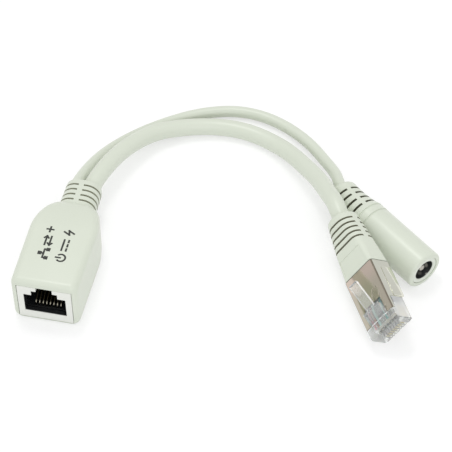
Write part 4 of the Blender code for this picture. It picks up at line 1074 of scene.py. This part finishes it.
# %% Ring and pin
RING_RADIUS = 0.0044
RING_FACE = 0.0002
RING_CORNER = 0.0001
RING_END = 0.0118
BASE_HOLE_RADIUS = 0.0012
BASE_START = 0.0093
PIN_RADIUS = 0.00105
PIN_TIP = 0.0009
PIN_ROUND = 0.0006
PIN_END = 0.0129
SMALL_EDGE = 0.00003

ring_outline = [
    (RING_RADIUS, RING_FACE + RING_CORNER),
    (RING_RADIUS, RING_END),
    (BASE_HOLE_RADIUS, RING_END),
    (BASE_HOLE_RADIUS, BASE_START),
    (DC_HOLE_RADIUS, BASE_START),
    (DC_HOLE_RADIUS, HOLE_DARK),
    (DC_HOLE_RADIUS + RING_CORNER, HOLE_PALE),
    (DC_HOLE_RADIUS + 3 * RING_CORNER, RING_FACE),
    (RING_RADIUS - RING_CORNER, RING_FACE),
]
pin_outline = [(0.0, PIN_TIP)]
for angle in quarter(8)[1:]:
    y = PIN_TIP + PIN_ROUND * (1 - math.cos(angle))
    pin_outline.append((PIN_RADIUS * math.sin(angle), y))
pin_outline += [(PIN_RADIUS, PIN_END), (0.0, PIN_END)]
dc_ring = loose_object("dc_ring_fine", spun(ring_outline, 72), dc_frame)
dc_pin = loose_object("dc_pin_fine", spun(pin_outline, 40), dc_frame)
finished(dc_ring, SOCKET_RING, ["dc_insert"], SMALL_EDGE)
finished(dc_pin, PIN_NICKEL, ["dc_pin"], SMALL_EDGE)
on_power_cable = [dc_housing, dc_ring, dc_pin]
print("ring and pin spun")

# %% [markdown]
# ## Pieces that keep their solid's shape
# The frame of the port, its insert, the shield, the clear nose and the small contacts have the
# right shape already, in flat triangles. A copy of each is merged, its flat faces are joined
# again, its edges are rounded a little and it is shaded smooth.


# %% A finer copy of a solid
SAME_SPOT = 0.000002
FLAT = math.radians(0.5)


def dressed(node, finish, edge=0.00008, angle=35):
    bm = bmesh.new()
    bm.from_mesh(solids[node].data)
    bmesh.ops.remove_doubles(bm, verts=bm.verts, dist=SAME_SPOT)
    bmesh.ops.dissolve_limit(bm, angle_limit=FLAT, verts=bm.verts, edges=bm.edges)
    return finished(loose_object(node + "_fine", bm), finish, [node], edge, angle)


dressed("jack_bezel", PORT_FRAME)
dressed("jack_body", BLACK_PLASTIC, 0.00006)
dressed("jack_board", BOARD_GREEN)
plug_body = dressed("plug_body", CLEAR_PLASTIC, 0.00011)
on_data_cable += [dressed("plug_shield", SHIELD_PLATE, 0.00006), plug_body]
on_power_cable.append(dressed("dc_spring", SHADED_NICKEL, SMALL_EDGE))
print("six solids dressed")

# %% [markdown]
# Light that runs inside clear plastic comes out at its narrow sides, so the sides of the latch
# lever and every rounded edge look white, and the sides and the end of the nose look milky. The
# Bevel modifier gives the edge finish to the edges, and the sides are found by where they lie
# and which way they face.

# %% Bright sides of the lever and the nose
LEVER_LOW = 0.0040
NOSE_SIDE = 0.0050
SIDE_WAY = 0.9

for extra in (CLEAR_EDGE, CLEAR_SIDE, CLEAR_END):
    plug_body.data.materials.append(extra)
plug_body.modifiers["edges"].material = 1
across = (plug_frame.to_3x3() @ Vector((1, 0, 0))).normalized()
ahead = (plug_frame.to_3x3() @ Vector((0, -1, 0))).normalized()
to_plug = plug_frame.inverted()
side_count = 0
for face in plug_body.data.polygons:
    middle = to_plug @ face.center
    outside = face.normal.dot(across) * math.copysign(1, middle.x) > SIDE_WAY
    if outside and middle.z > LEVER_LOW:
        face.material_index = 1
    elif outside and abs(middle.x) > NOSE_SIDE:
        face.material_index = 2
    elif face.normal.dot(ahead) > SIDE_WAY and middle.z < LEVER_LOW:
        face.material_index = 3
    side_count += face.material_index > 0
print(side_count, "faces on the sides of the lever and the nose")

# %% [markdown]
# The springs of the port and the wires are bent rounds, so they are only shaded smooth over
# their facets. The blades of the plug are flat punched metal, with a small edge.

# %% Contacts and wires
ROUND_ANGLE = 60
WIRE_SLOTS = ("wire_pink", "wire_rust", "wire_white_teal", "wire_teal")
POWER_SLOTS = ("wire_red", "wire_black")
for number in range(1, 9):
    dressed(f"jack_contact_{number}", SPRING_GOLD, 0, ROUND_ANGLE)
    on_data_cable.append(dressed(f"plug_contact_{number}", GOLD, SMALL_EDGE))
for number, (finish, slot) in enumerate(zip(WIRE_FINISHES, WIRE_SLOTS), 1):
    dressed(f"data_wire_{number}", finish, 0, ROUND_ANGLE)
    on_data_cable.append(dressed(f"plug_wire_{number}", finish, 0, ROUND_ANGLE))
for number, (finish, slot) in enumerate(zip(POWER_FINISHES, POWER_SLOTS), 1):
    dressed(f"power_wire_{number}", finish, 0, ROUND_ANGLE)
    on_power_cable.append(dressed(f"dc_wire_{number}", finish, 0, ROUND_ANGLE))
print("contacts and wires dressed")

# %% [markdown]
# ## What the cables carry
# Each cable is listed with where it leaves the socket end, its length and thickness, and the pieces
# on its far end, and the number of pieces it carries is printed.

for cable, leaves, length, diameter, far_end, carried in (
    (data_cable, data_exit, data_length, DATA_CABLE_DIAMETER, "plug", on_data_cable),
    (power_cable, power_exit, power_length, POWER_CABLE_DIAMETER, "connector", on_power_cable),
):
    print(cable.name, "carries", len(carried), "pieces")

# %% [markdown]
# ## Floor and light
# A white table with a soft shadow, a white room, a soft lamp nearly overhead from behind, and a
# weak cool one in front of the object that keeps its open ends from going dark.
# The open table gets its last step to white only where the camera, a gloss or the clear nose
# looks at it, so no more light falls on the cable.

# %% Floor
FLOOR_DULL = (0.90, 0.90, 0.90)
FLOOR_COLOUR = (0.91, 0.91, 0.91)
FLOOR_SEEN = (0.48, 0.48, 0.48)
FLOOR_GLOW = (0.54, 0.54, 0.54)
FLOOR_DROP = 0.0001


def floor_finish():
    graph = Graph("floor")
    cloud = graph.noise(12.0, 2.0)
    path = graph.node("ShaderNodeLightPath")
    seen = Reading(graph, path.outputs["Is Camera Ray"])
    for ray in ("Is Glossy Ray", "Is Transmission Ray"):
        seen = seen + Reading(graph, path.outputs[ray])
    paper = graph.blend(cloud, FLOOR_DULL, FLOOR_COLOUR)
    graph.set(Base_Color=graph.blend(seen, paper, FLOOR_SEEN), Roughness=0.7)
    graph.set(Emission_Color=graph.blend(seen, (0.0, 0.0, 0.0), FLOOR_GLOW), Emission_Strength=1.0)
    return graph.material


bm = bmesh.new()
bmesh.ops.create_grid(bm, x_segments=8, y_segments=8, size=1.5)
bmesh.ops.translate(bm, verts=bm.verts, vec=(0, 0, -FLOOR_DROP))
floor = loose_object("floor", bm)
floor.data.materials.append(floor_finish())
print("floor made")

# %% Lamps and world
ROOM_LIGHT = 0.79

world = bpy.data.worlds.new("room")
bpy.context.scene.world = world
world.use_nodes = True
background = world.node_tree.nodes["Background"]
background.inputs["Color"].default_value = (1.0, 1.0, 1.0, 1.0)
background.inputs["Strength"].default_value = ROOM_LIGHT


def lamp(name, place, size, watts, colour=(1.0, 1.0, 1.0)):
    light = bpy.data.lights.new(name, "AREA")
    light.size = size
    light.energy = watts
    light.color = colour
    holder = bpy.data.objects.new(name, light)
    holder.location = place
    holder.rotation_euler = (AIM - Vector(place)).to_track_quat("-Z", "Y").to_euler()
    bpy.context.scene.collection.objects.link(holder)
    return holder


lamp("soft_key", (-0.10, 0.20, 0.78), 0.22, 1.20)
lamp("cool_fill", (0.16, -0.34, 0.30), 0.3, 0.36, (0.92, 0.96, 1.0))
bpy.context.scene.view_settings.view_transform = "Standard"
print("lamps and world made")
